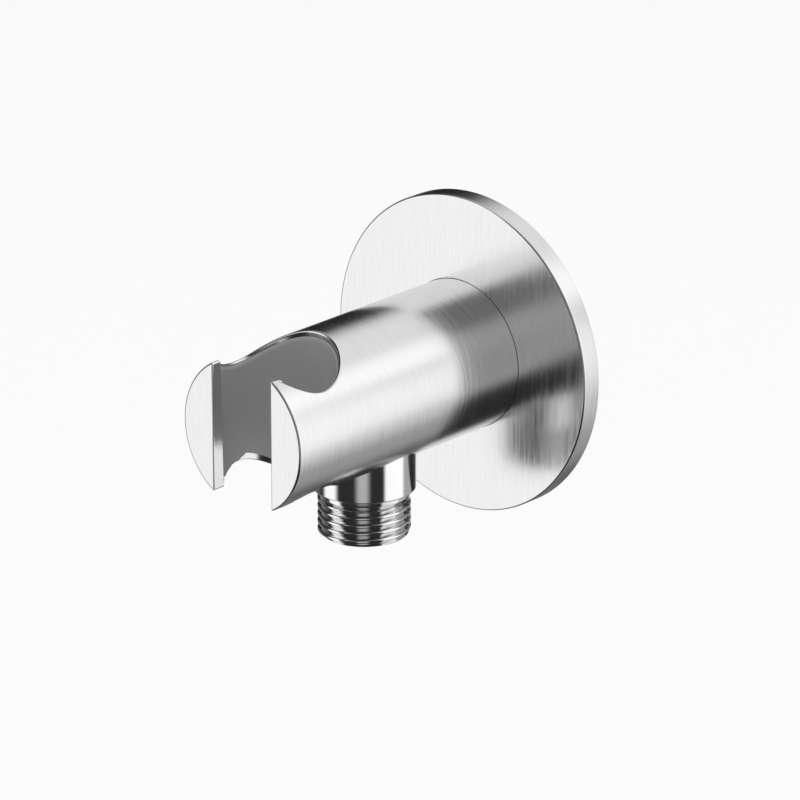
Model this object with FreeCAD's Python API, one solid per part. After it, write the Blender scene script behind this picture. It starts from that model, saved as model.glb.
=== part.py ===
"""Wall outlet elbow with a hand shower cradle, as an assembly of turned, cast and moulded pieces.

The origin is the centre of the rosette's back face, in the plane of the wall.
+Z is up, +Y points into the wall, and the arm reaches out along -Y.
All lengths are in millimetres. A reach is a distance out from the wall, and a
drop is a distance below the arm's axis.
"""
import FreeCAD, Part
import math
import os

from FreeCAD import Vector

# Rosette, the round cover plate against the wall
rosette_radius = 37.07
rosette_depth = 4.89
rosette_face_wall = 1.6
rosette_rim_wall = 1.7
rosette_edge_bevel = 0.35
rosette_collar_wall = 3.2
rosette_collar_gap = 0.12
rosette_collar_recess = 0.6

# Rubber ring that grips the arm inside the rosette's collar
rosette_ring_section = 0.8
rosette_ring_groove_width = 2.0
rosette_ring_offset = 1.65

# Foam seal that lies in the rosette's hollow back, against the wall
gasket_width = 3.6
gasket_gap = 0.15

# Arm, one solid casting
arm_radius = 17.49
arm_back_gap = 0.8
arm_front_bevel = 0.35
arm_back_bevel = 0.3

# Cradle for the handset, a vertical bore near the arm's end. Its axis lies a
# wall's width beyond the spigot's collar, and the lips reach on from the axis.
cradle_wall = 2.5
lip_reach = 11.79
liner_top_inner_radius = 12.84
liner_bottom_inner_radius = 12.29
liner_outer_radius = 13.30
liner_seat_gap = 0.05
liner_recess = 1.24
liner_lip_round = 0.3
cradle_edge_round = 0.35
mouth_width = 17.2
mouth_edge_bevel = 0.25

# Tab of the liner that reaches down beside the mouth, seen from the side. Runs
# are measured from the cradle's axis towards the mouth, and drops from the
# height at which the ledge's bore meets the arm's skin, beside the axis.
tab_recess = 0.1
tab_shoulder_run = -2.1
tab_shoulder_drop = -1.51
tab_step_run = 0.9
tab_step_drop = -0.31
tab_edge_run = 2.8
tab_bottom_drop = 1.49
tab_blend_radius = 0.8
tab_inner_radius = 0.5
tab_corner_radius = 1.6

# Outlet spigot, screwed up into the arm, with a G 1/2 hose thread
spigot_reach = 36.96
pipe_thread_radius = 10.4775
collar_radius = 11.69
collar_bottom_drop = 22.45
collar_bevel = 0.4
collar_seat_depth = 2.0
collar_seat_gap = 0.06
spigot_plain_radius = 10.35
spigot_plain_height = 1.4
run_out_groove_radius = 9.5
run_out_groove_width = 0.8
run_out_groove_slope = 0.2
spigot_end_drop = 33.71
thread_end_bevel = 0.7
spigot_neck_radius = 9.5
spigot_neck_height = 6.5
spigot_neck_gap = 0.05
spigot_neck_bevel = 0.5
spigot_top_bore_radius = 5.0
spigot_hex_flats = 10.0
spigot_hex_depth = 7.0
spigot_ring_section = 0.72
spigot_ring_groove_height = 1.9
neck_hole_run_out = 0.3

# Waterway inside the arm
socket_radius = 12.0
socket_depth = 21.5
socket_lead_in = 0.8
socket_end_slope = 1.5
waterway_radius = 6.0
waterway_rise = 6.5
waterway_column_radius = 6.6
waterway_column_bevel = 2.5

# Wall nipple that carries the arm and screws into the wall fitting
nipple_nose_gap = 0.05
nipple_nose_end_gap = 0.5
nipple_nose_bevel = 0.8
nipple_shoulder_reach = 3.6
nipple_relief_radius = 9.2
nipple_relief_width = 1.4
nipple_thread_reach = 14.0
nipple_thread_bevel = 1.0
nipple_bore_radius = 6.0
nipple_hex_flats = 12.0
nipple_hex_depth = 10.0
nipple_ring_section = 0.9
nipple_ring_groove_width = 2.3
nipple_ring_setbacks = (3.4, 7.6)
nipple_screw_groove_depth = 1.05
nipple_screw_groove_width = 5.4

# Set screw that locks the arm on the nipple
screw_reach = 7.6
screw_radius = 2.5
screw_gap = 0.03
screw_length = 8.0
screw_tip_gap = 0.1
screw_point_radius = 1.3
screw_point_length = 1.2
screw_socket_flats = 2.5
screw_socket_depth = 3.0
screw_end_bevel = 0.4

# Non-return valve cartridge inside the spigot
cartridge_radius = 7.5
cartridge_gap = 0.05
cartridge_top_depth = 2.5
cartridge_top_gap = 0.1
cartridge_bevel = 0.4
cartridge_flange_lip = 0.9
cartridge_flange_height = 1.2
cartridge_flange_inset = 0.3
cartridge_ring_section = 0.6
cartridge_ring_groove_width = 1.6
cartridge_ring_setback = 1.9
seat_ring_height = 5.2
seat_bore_radius = 4.6
seat_bore_flare = 0.6
seat_face_radius = 5.2
seat_face_depth = 0.8
guide_wall = 0.7
guide_hub_radius = 2.2
guide_hub_height = 5.6
guide_rib_count = 3
guide_rib_width = 1.2
guide_rib_height = 2.6
guide_rib_foot_gap = 1.0
guide_rib_overlap = 0.3

# Poppet, its rubber washer and its spring
poppet_head_radius = 5.0
poppet_head_height = 1.5
poppet_head_bevel = 0.4
poppet_stem_radius = 1.25
poppet_stem_gap = 0.05
poppet_stem_bevel = 0.3
poppet_stem_overhang = 0.8
poppet_travel = 2.5
poppet_cap_gap = 0.6
poppet_cap_rise = 0.5
poppet_cap_bevel = 0.3
poppet_dome_rise = 1.4
poppet_dome_radius = 1.2
poppet_seal_radius = 5.9
poppet_seal_height = 0.8
poppet_seal_groove_depth = 0.9
poppet_seat_gap = 0.02
spring_coil_radius = 3.1
spring_wire_radius = 0.2
spring_turns = 5.0
spring_end_gap = 0.02
spring_section_sides = 6

# Flats that stand for an O-ring's round section
ring_section_sides = 8

# Working allowances of the construction, none of them a size of the object
ring_gap = 0.01
cut_margin = 2.0
cut_reach = 60.0

WALL_AXIS = Vector(0, 1, 0)
UP = Vector(0, 0, 1)
ACROSS = Vector(1, 0, 0)

# Levels and radii that several pieces share
liner_seat_radius = liner_outer_radius + liner_seat_gap
cradle_reach = spigot_reach + collar_radius + cradle_wall + liner_seat_radius
arm_front_reach = cradle_reach + lip_reach
collar_seat_drop = math.sqrt(arm_radius ** 2 - collar_radius ** 2) - collar_seat_depth
cut_half = arm_radius + cut_margin
cut_front = arm_front_reach + cut_margin
liner_ledge_radius = arm_radius - liner_recess
ledge_skin_drop = math.sqrt(arm_radius ** 2 - liner_bottom_inner_radius ** 2)
tab_surface_radius = arm_radius - tab_recess
mouth_half = mouth_width / 2
rosette_ring_reach = rosette_collar_recess + rosette_ring_offset
socket_end_reach = arm_back_gap + socket_depth
nose_radius = socket_radius - nipple_nose_gap
nose_end_reach = socket_end_reach - nipple_nose_end_gap
nipple_ring_reaches = [nose_end_reach - setback for setback in nipple_ring_setbacks]
screw_groove_radius = nose_radius - nipple_screw_groove_depth
screw_tip_drop = screw_groove_radius + screw_tip_gap
screw_end_drop = screw_tip_drop + screw_length
neck_top = -collar_seat_drop + spigot_neck_height
cartridge_bore_radius = cartridge_radius + cartridge_gap
cartridge_flange_radius = cartridge_radius + cartridge_flange_lip
cartridge_shoulder = -collar_seat_drop - cartridge_top_depth
cartridge_top = cartridge_shoulder - cartridge_top_gap
cartridge_ring_level = cartridge_top - cartridge_ring_setback
flange_bottom = -spigot_end_drop + cartridge_flange_inset
flange_top = flange_bottom + cartridge_flange_height
seat_ring_bottom = cartridge_top - seat_ring_height
guide_inner_radius = cartridge_radius - guide_wall
rib_bottom = flange_bottom + guide_rib_foot_gap
rib_top = rib_bottom + guide_rib_height
hub_top = rib_bottom + guide_hub_height
poppet_top = seat_ring_bottom - poppet_seat_gap
poppet_seal_bottom = poppet_top - poppet_seal_height
poppet_head_bottom = poppet_seal_bottom - poppet_head_height
poppet_cap_radius = seat_bore_radius - poppet_cap_gap
poppet_waist_radius = poppet_cap_radius - poppet_seal_groove_depth
stem_bottom = rib_bottom + poppet_travel - poppet_stem_overhang


def wall_cylinder(radius, front, back):
    """A solid cylinder on the arm's axis, between two reaches."""
    return Part.makeCylinder(radius, front - back, Vector(0, -front, 0), WALL_AXIS)


def wall_ring(outer_radius, inner_radius, front, back):
    """A ring on the arm's axis, between two reaches."""
    inner = wall_cylinder(inner_radius, front + cut_margin, back - cut_margin)
    return wall_cylinder(outer_radius, front, back).cut(inner)


def upright_cylinder(radius, bottom, top, reach):
    """A solid vertical cylinder at a given reach."""
    return Part.makeCylinder(radius, top - bottom, Vector(0, -reach, bottom), UP)


def turned_on_arm(points):
    """A solid turned about the arm's axis from a closed outline of (radius, reach) points."""
    corners = [Vector(radius, -reach, 0) for radius, reach in points]
    outline = Part.makePolygon(corners + corners[:1])
    return Part.Face(outline).revolve(Vector(0, 0, 0), WALL_AXIS, 360)


def turned_upright(points, reach):
    """A solid turned about a vertical axis from a closed outline of (radius, height) points."""
    corners = [Vector(radius, -reach, height) for radius, height in points]
    outline = Part.makePolygon(corners + corners[:1])
    return Part.Face(outline).revolve(Vector(0, -reach, 0), UP, 360)


def rubber_ring_outline(centre_radius, section_radius, level):
    """The closed outline of an O-ring's round section, drawn with flats that touch the round."""
    corner_radius = section_radius / math.cos(math.pi / ring_section_sides)
    outline = []
    for index in range(ring_section_sides):
        angle = 2 * math.pi * (index + 0.5) / ring_section_sides
        across = corner_radius * math.cos(angle)
        along = corner_radius * math.sin(angle)
        outline.append((centre_radius + across, level + along))
    return outline


def hexagon_prism(flats, start, direction, side, length):
    """A hexagonal prism, measured across its flats, with a corner towards the side vector."""
    corner_radius = flats / math.sqrt(3)
    other = direction.cross(side)
    corners = []
    for index in range(6):
        angle = math.radians(60 * index)
        offset = side * (corner_radius * math.cos(angle)) + other * (corner_radius * math.sin(angle))
        corners.append(start + offset)
    outline = Part.makePolygon(corners + corners[:1])
    return Part.Face(outline).extrude(direction * length)


def rounded_outline(corners):
    """A closed face outline through (point, corner radius) pairs that lie in one plane."""
    count = len(corners)
    ends = []
    for index, (corner, radius) in enumerate(corners):
        to_last = (corners[index - 1][0] - corner).normalize()
        to_next = (corners[(index + 1) % count][0] - corner).normalize()
        if radius == 0:
            ends.append((corner, None, corner))
            continue
        half_angle = to_last.getAngle(to_next) / 2
        setback = radius / math.tan(half_angle)
        bisector = (to_last + to_next).normalize()
        middle = corner + bisector * (radius / math.sin(half_angle) - radius)
        ends.append((corner + to_last * setback, middle, corner + to_next * setback))
    edges = []
    for index, (start, middle, end) in enumerate(ends):
        if middle is not None:
            edges.append(Part.Arc(start, middle, end).toShape())
        following_start = ends[(index + 1) % count][0]
        edges.append(Part.LineSegment(end, following_start).toShape())
    return Part.Wire(edges)


def edges_where(shape, test):
    """The edges of a shape whose middle point passes a test."""
    chosen = []
    for edge in shape.Edges:
        middle = edge.valueAt((edge.FirstParameter + edge.LastParameter) / 2)
        if test(middle):
            chosen.append(edge)
    return chosen


def near(first, second):
    """Whether two lengths agree to within a hundredth."""
    return abs(first - second) < 0.01


def off_cradle_axis(point):
    """How far a point lies from the cradle's vertical axis."""
    return math.hypot(point.x, point.y + cradle_reach)


def make_rosette():
    """The dished cover plate, with the collar that the arm passes through."""
    hole = arm_radius + rosette_collar_gap
    collar = hole + rosette_collar_wall
    rim = rosette_radius - rosette_rim_wall
    plate_back = rosette_depth - rosette_face_wall
    plate = turned_on_arm([
        (hole, rosette_depth),
        (rosette_radius - rosette_edge_bevel, rosette_depth),
        (rosette_radius, rosette_depth - rosette_edge_bevel),
        (rosette_radius, 0),
        (rim, 0),
        (rim, plate_back),
        (collar, plate_back),
        (collar, rosette_collar_recess),
        (hole, rosette_collar_recess),
    ])
    half_width = rosette_ring_groove_width / 2
    groove_radius = hole + 2 * rosette_ring_section
    front = rosette_ring_reach + half_width
    back = rosette_ring_reach - half_width
    return plate.cut(wall_ring(groove_radius, arm_radius - cut_margin, front, back))


def make_rosette_ring():
    """The rubber ring that holds the rosette on the arm by friction."""
    centre_radius = arm_radius + rosette_ring_section + ring_gap
    return turned_on_arm(rubber_ring_outline(centre_radius, rosette_ring_section, rosette_ring_reach))


def make_wall_gasket():
    """The foam ring that seals the rosette to the tiles."""
    outer = rosette_radius - rosette_rim_wall - gasket_gap
    return wall_ring(outer, outer - gasket_width, rosette_depth - rosette_face_wall, 0)


def mouth_slot():
    """The slot that opens the cradle to the front."""
    corner = Vector(-mouth_half, -cradle_reach - cut_reach, -cut_half)
    return Part.makeBox(mouth_width, cut_reach, 2 * cut_half, corner)


def tab_zone(gap):
    """The slab, seen from the side, within which the liner reaches down beside the mouth."""
    def at(run, drop):
        return Vector(-cut_half, -cradle_reach - run + gap, -ledge_skin_drop - drop - gap)

    front = cut_front - cradle_reach
    outline = rounded_outline([
        (Vector(-cut_half, -cut_front, cut_margin), 0),
        (Vector(-cut_half, -cradle_reach - tab_shoulder_run + gap, cut_margin), 0),
        (at(tab_shoulder_run, tab_shoulder_drop), tab_blend_radius),
        (at(tab_step_run, tab_step_drop), tab_blend_radius),
        (at(tab_edge_run, tab_step_drop), tab_inner_radius),
        (at(tab_edge_run, tab_bottom_drop), tab_corner_radius),
        (at(front + gap, tab_bottom_drop), 0),
    ])
    return Part.Face(outline).extrude(ACROSS * (2 * cut_half))


def liner_room(skin_radius, gap):
    """The space that the liner keeps to: under the arm's skin, and deeper beside the mouth."""
    recessed = wall_cylinder(liner_ledge_radius, cut_front, 0)
    tab = wall_cylinder(skin_radius, cut_front, 0).common(tab_zone(gap))
    return recessed.fuse(tab)


def make_liner():
    """The moulded plastic lining of the cradle, a conical C that ends at the mouth."""
    spread = (liner_top_inner_radius - liner_bottom_inner_radius) / (2 * arm_radius)
    middle = (liner_top_inner_radius + liner_bottom_inner_radius) / 2
    outside = upright_cylinder(liner_outer_radius, -cut_half, cut_half, cradle_reach)
    inside = Part.makeCone(
        middle - spread * cut_half, middle + spread * cut_half, 2 * cut_half,
        Vector(0, -cradle_reach, -cut_half), UP)
    liner = outside.cut(inside).cut(mouth_slot())
    liner = liner.common(liner_room(tab_surface_radius, 0)).removeSplitter()

    def on_top_rim(point):
        inner_radius = middle + spread * point.z
        on_skin = near(math.hypot(point.x, point.z), liner_ledge_radius)
        return point.z > 0 and on_skin and near(off_cradle_axis(point), inner_radius)

    return liner.makeFillet(liner_lip_round, edges_where(liner, on_top_rim))


def make_arm():
    """The cast arm: waterway at the back, handset cradle and mouth at the front."""
    arm = turned_on_arm([
        (0, arm_back_gap),
        (arm_radius - arm_back_bevel, arm_back_gap),
        (arm_radius, arm_back_gap + arm_back_bevel),
        (arm_radius, arm_front_reach - arm_front_bevel),
        (arm_radius - arm_front_bevel, arm_front_reach),
        (0, arm_front_reach),
    ])
    arm = cut_cradle(arm)
    arm = cut_waterway(arm)
    return break_edges(arm)


def cut_cradle(arm):
    """Bore the cradle, leaving the ledge that the liner stands on, and open the mouth."""
    ledge_bore = upright_cylinder(liner_bottom_inner_radius, -cut_half, cut_half, cradle_reach)
    seat = upright_cylinder(liner_seat_radius, -cut_half, cut_half, cradle_reach)
    corner = Vector(-cut_half, -cut_front, 0)
    above = Part.makeBox(2 * cut_half, cut_front, cut_half, corner)
    room = liner_room(cut_half, liner_seat_gap).fuse(above)
    return arm.cut(ledge_bore).cut(seat.common(room)).cut(mouth_slot())


def cut_waterway(arm):
    """Bore the nipple's socket, the waterway, the spigot's hole and the set screw's hole."""
    socket = turned_on_arm([
        (0, 0),
        (socket_radius + socket_lead_in, 0),
        (socket_radius + socket_lead_in, arm_back_gap),
        (socket_radius, arm_back_gap + socket_lead_in),
        (socket_radius, socket_end_reach),
        (waterway_radius, socket_end_reach + socket_end_slope),
        (waterway_radius, spigot_reach),
        (0, spigot_reach),
    ])
    column = turned_upright([
        (0, neck_top - cut_margin),
        (waterway_column_radius, neck_top - cut_margin),
        (waterway_column_radius, waterway_rise - waterway_column_bevel),
        (waterway_column_radius - waterway_column_bevel, waterway_rise),
        (0, waterway_rise),
    ], spigot_reach)
    holes_from_below = [
        (spigot_neck_radius + spigot_neck_gap, neck_top + neck_hole_run_out, spigot_reach),
        (collar_radius + collar_seat_gap, -collar_seat_drop, spigot_reach),
        (screw_radius + screw_gap, -socket_radius + cut_margin, screw_reach),
    ]
    arm = arm.cut(socket).cut(column)
    for radius, top, reach in holes_from_below:
        arm = arm.cut(upright_cylinder(radius, -cut_half, top, reach))
    return arm


def break_edges(arm):
    """Round the edge where the cradle runs out through the skin, and bevel the mouth's front edges."""
    def on_cradle_edge(point):
        on_skin = near(math.hypot(point.x, point.z), arm_radius)
        return point.z > 0 and on_skin and near(off_cradle_axis(point), liner_seat_radius)

    def on_mouth_edge(point):
        return near(abs(point.x), mouth_half) and near(point.y, -arm_front_reach)

    arm = arm.makeChamfer(mouth_edge_bevel, edges_where(arm, on_mouth_edge))
    return arm.makeFillet(cradle_edge_round, edges_where(arm, on_cradle_edge))


def make_spigot():
    """The turned outlet spigot: hexagon for the key in its neck, seat for the valve cartridge below."""
    plain_top = -collar_bottom_drop - collar_bevel
    groove_start = plain_top - spigot_plain_height
    thread_start = groove_start - run_out_groove_width
    ring_groove_top = -collar_seat_drop + spigot_ring_groove_height
    ring_groove_radius = spigot_neck_radius - 2 * spigot_ring_section - 2 * ring_gap
    flange_seat = cartridge_flange_radius + cartridge_gap
    spigot = turned_upright([
        (spigot_top_bore_radius, neck_top),
        (spigot_neck_radius - spigot_neck_bevel, neck_top),
        (spigot_neck_radius, neck_top - spigot_neck_bevel),
        (spigot_neck_radius, ring_groove_top),
        (ring_groove_radius, ring_groove_top),
        (ring_groove_radius, -collar_seat_drop),
        (collar_radius, -collar_seat_drop),
        (collar_radius, -collar_bottom_drop),
        (collar_radius - collar_bevel, plain_top),
        (spigot_plain_radius, plain_top),
        (spigot_plain_radius, groove_start),
        (run_out_groove_radius, groove_start - run_out_groove_slope),
        (run_out_groove_radius, thread_start + run_out_groove_slope),
        (pipe_thread_radius, thread_start),
        (pipe_thread_radius, -spigot_end_drop + thread_end_bevel),
        (pipe_thread_radius - thread_end_bevel, -spigot_end_drop),
        (flange_seat, -spigot_end_drop),
        (flange_seat, flange_top),
        (cartridge_bore_radius, flange_top),
        (cartridge_bore_radius, cartridge_shoulder),
        (spigot_top_bore_radius, cartridge_shoulder),
    ], spigot_reach)
    hex_bottom = Vector(0, -spigot_reach, neck_top - spigot_hex_depth)
    return spigot.cut(hexagon_prism(spigot_hex_flats, hex_bottom, UP, ACROSS, spigot_hex_depth))


def make_spigot_ring():
    """The O-ring between the spigot's neck and the arm."""
    radius = spigot_neck_radius - spigot_ring_section - ring_gap
    height = -collar_seat_drop + spigot_ring_groove_height / 2
    return turned_upright(rubber_ring_outline(radius, spigot_ring_section, height), spigot_reach)


def make_nipple():
    """The turned nipple: G 1/2 thread in the wall, smooth nose with two seals in the arm."""
    relief_end = nipple_shoulder_reach - nipple_relief_width
    thread_start = relief_end - (pipe_thread_radius - nipple_relief_radius)
    nipple = turned_on_arm([
        (nipple_bore_radius, nose_end_reach),
        (nose_radius - nipple_nose_bevel, nose_end_reach),
        (nose_radius, nose_end_reach - nipple_nose_bevel),
        (nose_radius, nipple_shoulder_reach),
        (nipple_relief_radius, nipple_shoulder_reach),
        (nipple_relief_radius, relief_end),
        (pipe_thread_radius, thread_start),
        (pipe_thread_radius, -nipple_thread_reach + nipple_thread_bevel),
        (pipe_thread_radius - nipple_thread_bevel, -nipple_thread_reach),
        (nipple_bore_radius, -nipple_thread_reach),
    ])
    ring_groove_radius = socket_radius - 2 * nipple_ring_section - 2 * ring_gap
    grooves = [(reach, nipple_ring_groove_width, ring_groove_radius) for reach in nipple_ring_reaches]
    grooves.append((screw_reach, nipple_screw_groove_width, screw_groove_radius))
    for reach, width, radius in grooves:
        nipple = nipple.cut(wall_ring(cut_half, radius, reach + width / 2, reach - width / 2))
    start = Vector(0, -nose_end_reach, 0)
    return nipple.cut(hexagon_prism(nipple_hex_flats, start, WALL_AXIS, UP, nipple_hex_depth))


def make_nipple_rings():
    """The two O-rings on the nipple's nose, as one group."""
    radius = socket_radius - nipple_ring_section - ring_gap
    rings = []
    for reach in nipple_ring_reaches:
        rings.append(turned_on_arm(rubber_ring_outline(radius, nipple_ring_section, reach)))
    return Part.makeCompound(rings)


def make_set_screw():
    """The set screw, with its point in the nipple's groove and its socket below."""
    screw = turned_upright([
        (0, -screw_end_drop),
        (screw_radius - screw_end_bevel, -screw_end_drop),
        (screw_radius, -screw_end_drop + screw_end_bevel),
        (screw_radius, -screw_tip_drop - screw_point_length),
        (screw_point_radius, -screw_tip_drop),
        (0, -screw_tip_drop),
    ], screw_reach)
    start = Vector(0, -screw_reach, -screw_end_drop)
    return screw.cut(hexagon_prism(screw_socket_flats, start, UP, ACROSS, screw_socket_depth))


def make_valve_seat():
    """The upper half of the valve cartridge: outer O-ring groove, and the poppet's seat below."""
    groove_radius = cartridge_bore_radius - 2 * cartridge_ring_section - 2 * ring_gap
    groove_half = cartridge_ring_groove_width / 2
    return turned_upright([
        (seat_bore_radius + seat_bore_flare, cartridge_top),
        (cartridge_radius - cartridge_bevel, cartridge_top),
        (cartridge_radius, cartridge_top - cartridge_bevel),
        (cartridge_radius, cartridge_ring_level + groove_half),
        (groove_radius, cartridge_ring_level + groove_half),
        (groove_radius, cartridge_ring_level - groove_half),
        (cartridge_radius, cartridge_ring_level - groove_half),
        (cartridge_radius, seat_ring_bottom),
        (seat_face_radius, seat_ring_bottom),
        (seat_bore_radius, seat_ring_bottom + seat_face_depth),
        (seat_bore_radius, cartridge_top - seat_bore_flare),
    ], spigot_reach)


def make_valve_ring():
    """The O-ring between the cartridge and the spigot's bore."""
    radius = cartridge_bore_radius - cartridge_ring_section - ring_gap
    outline = rubber_ring_outline(radius, cartridge_ring_section, cartridge_ring_level)
    return turned_upright(outline, spigot_reach)


def make_valve_guide():
    """The lower half of the cartridge: a cage whose ribs carry the hub for the poppet's stem."""
    guide = turned_upright([
        (guide_inner_radius, seat_ring_bottom),
        (cartridge_radius, seat_ring_bottom),
        (cartridge_radius, flange_top),
        (cartridge_flange_radius, flange_top),
        (cartridge_flange_radius, flange_bottom),
        (guide_inner_radius, flange_bottom),
    ], spigot_reach)
    guide = guide.fuse(upright_cylinder(guide_hub_radius, rib_bottom, hub_top, spigot_reach))
    for index in range(guide_rib_count):
        rib = Part.makeBox(
            guide_inner_radius + guide_rib_overlap, guide_rib_width, guide_rib_height,
            Vector(0, -spigot_reach - guide_rib_width / 2, rib_bottom))
        rib.rotate(Vector(0, -spigot_reach, 0), UP, 90 + 360 / guide_rib_count * index)
        guide = guide.fuse(rib)
    bore_radius = poppet_stem_radius + poppet_stem_gap
    bore = upright_cylinder(bore_radius, rib_bottom - cut_margin, hub_top + cut_margin, spigot_reach)
    return guide.cut(bore).removeSplitter()


def make_valve_poppet():
    """The poppet: a domed head that carries the washer, and the stem that slides in the hub."""
    return turned_upright([
        (0, stem_bottom),
        (poppet_stem_radius - poppet_stem_bevel, stem_bottom),
        (poppet_stem_radius, stem_bottom + poppet_stem_bevel),
        (poppet_stem_radius, poppet_head_bottom),
        (poppet_head_radius - poppet_head_bevel, poppet_head_bottom),
        (poppet_head_radius, poppet_head_bottom + poppet_head_bevel),
        (poppet_head_radius, poppet_seal_bottom),
        (poppet_waist_radius, poppet_seal_bottom),
        (poppet_waist_radius, poppet_top),
        (poppet_cap_radius, poppet_top),
        (poppet_cap_radius - poppet_cap_bevel, poppet_top + poppet_cap_rise),
        (poppet_dome_radius, poppet_top + poppet_dome_rise),
        (0, poppet_top + poppet_dome_rise),
    ], spigot_reach)


def make_poppet_seal():
    """The flat rubber washer held between the poppet's head and its cap."""
    inner = poppet_waist_radius + ring_gap
    return turned_upright([
        (inner, poppet_top),
        (poppet_seal_radius, poppet_top),
        (poppet_seal_radius, poppet_seal_bottom),
        (inner, poppet_seal_bottom),
    ], spigot_reach)


def make_valve_spring():
    """The closing spring, around the hub, between the ribs and the poppet's head."""
    bottom = rib_top + spring_wire_radius + spring_end_gap
    height = poppet_head_bottom - spring_wire_radius - spring_end_gap - bottom
    helix = Part.makeHelix(height / spring_turns, height, spring_coil_radius)
    helix.translate(Vector(0, -spigot_reach, bottom))
    corners = []
    for index in range(spring_section_sides):
        angle = 2 * math.pi * index / spring_section_sides
        along = spring_coil_radius + spring_wire_radius * math.cos(angle)
        corners.append(Vector(along, -spigot_reach, bottom + spring_wire_radius * math.sin(angle)))
    section = Part.makePolygon(corners + corners[:1])
    return Part.Wire(helix.Edges).makePipeShell([section], True, True)


def main():
    """Build every piece and write it out."""
    os.makedirs("parts", exist_ok=True)
    pieces = {
        "rosette": make_rosette(),
        "rosette_ring": make_rosette_ring(),
        "wall_gasket": make_wall_gasket(),
        "arm_body": make_arm(),
        "cradle_liner": make_liner(),
        "outlet_spigot": make_spigot(),
        "spigot_ring": make_spigot_ring(),
        "wall_nipple": make_nipple(),
        "nipple_rings": make_nipple_rings(),
        "set_screw": make_set_screw(),
        "valve_seat": make_valve_seat(),
        "valve_ring": make_valve_ring(),
        "valve_guide": make_valve_guide(),
        "valve_poppet": make_valve_poppet(),
        "poppet_seal": make_poppet_seal(),
        "valve_spring": make_valve_spring(),
    }
    for name, shape in pieces.items():
        shape.exportStep(os.path.join("parts", name + ".step"))
        print(name, "solids", len(shape.Solids), "valid", shape.isValid(), "volume", round(shape.Volume, 2))


main()
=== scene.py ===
"""Looks of the wall outlet elbow: its pieces modelled, finished, lit and framed as in the photo.

Lengths in the classes are millimetres, in the frame of the CAD model: the origin is the
centre of the rosette's back face, +Z is up, +Y points into the wall and the arm reaches out
along -Y. A reach is a distance out from the wall, and a level is a height above the arm's
axis. Finished meshes are scaled to metres.
"""
import logging
import math
from dataclasses import dataclass
from enum import Enum
from typing import Callable, Sequence

import bmesh
import bpy
from mathutils import Matrix, Vector


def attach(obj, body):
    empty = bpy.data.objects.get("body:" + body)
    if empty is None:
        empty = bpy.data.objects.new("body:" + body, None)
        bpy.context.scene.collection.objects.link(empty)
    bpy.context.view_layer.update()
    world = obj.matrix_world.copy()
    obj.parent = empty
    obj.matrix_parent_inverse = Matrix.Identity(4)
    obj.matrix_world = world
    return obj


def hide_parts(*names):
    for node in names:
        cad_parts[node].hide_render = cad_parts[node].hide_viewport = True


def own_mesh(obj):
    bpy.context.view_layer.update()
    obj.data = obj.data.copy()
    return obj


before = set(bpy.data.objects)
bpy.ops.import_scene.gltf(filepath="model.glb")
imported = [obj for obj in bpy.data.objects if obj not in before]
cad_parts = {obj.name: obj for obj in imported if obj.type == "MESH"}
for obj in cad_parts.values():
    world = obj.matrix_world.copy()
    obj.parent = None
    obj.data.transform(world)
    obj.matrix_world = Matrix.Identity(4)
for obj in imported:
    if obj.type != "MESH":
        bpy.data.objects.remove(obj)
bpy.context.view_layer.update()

METRES = 0.001
MERGE_DISTANCE = 1e-4
SEAM_DISTANCE = 4e-3
FULL_TURN = 2 * math.pi

# How far cutters reach past the arm's skin, how far the shapes that trim them reach, and
# how far out from the wall they end.
FAR = 25.0
FARTHER = 30.0
BEYOND_FRONT = 95.0

# The form of a G 1/2 pipe thread, and the radius at which the face at its end begins.
PIPE_PITCH = 1.814
PIPE_ROOT = 9.3155
PIPE_CREST = 10.4775
PIPE_END_FACE = 8.8

# The range of noise that finishes make use of.
NOISE_LOW = 0.3
NOISE_HIGH = 0.7
LOG = logging.getLogger("wall_outlet_elbow")


class Body(Enum):
    """The CAD bodies that pieces ride on."""

    ELBOW = "elbow"
    POPPET = "poppet"


class Slot(Enum):
    """The record's material slots."""

    BRUSHED = "brushed_metal"
    POLISHED = "polished_metal"
    BRASS = "plain_brass"
    SCREW = "screw_steel"
    LINER = "liner_plastic"
    VALVE = "valve_plastic"
    RUBBER = "seal_rubber"
    FOAM = "foam"
    SPRING = "spring_steel"


class Joining(Enum):
    """How one closed shape acts on another."""

    CUT = "DIFFERENCE"
    ADD = "UNION"
    KEEP = "INTERSECT"


class Skin(Enum):
    """The finishes of a brushed piece's faces, by their place in its list of materials."""

    ROUND = 0
    FRONT = 1
    PLAIN = 2


class Grain(Enum):
    """Which way brushed hairlines run, as how fast the noise changes along X, Y and Z."""

    AROUND_ARM = (0.035, 1.0, 0.035)
    UPRIGHT = (1.0, 0.3, 0.05)


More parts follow.
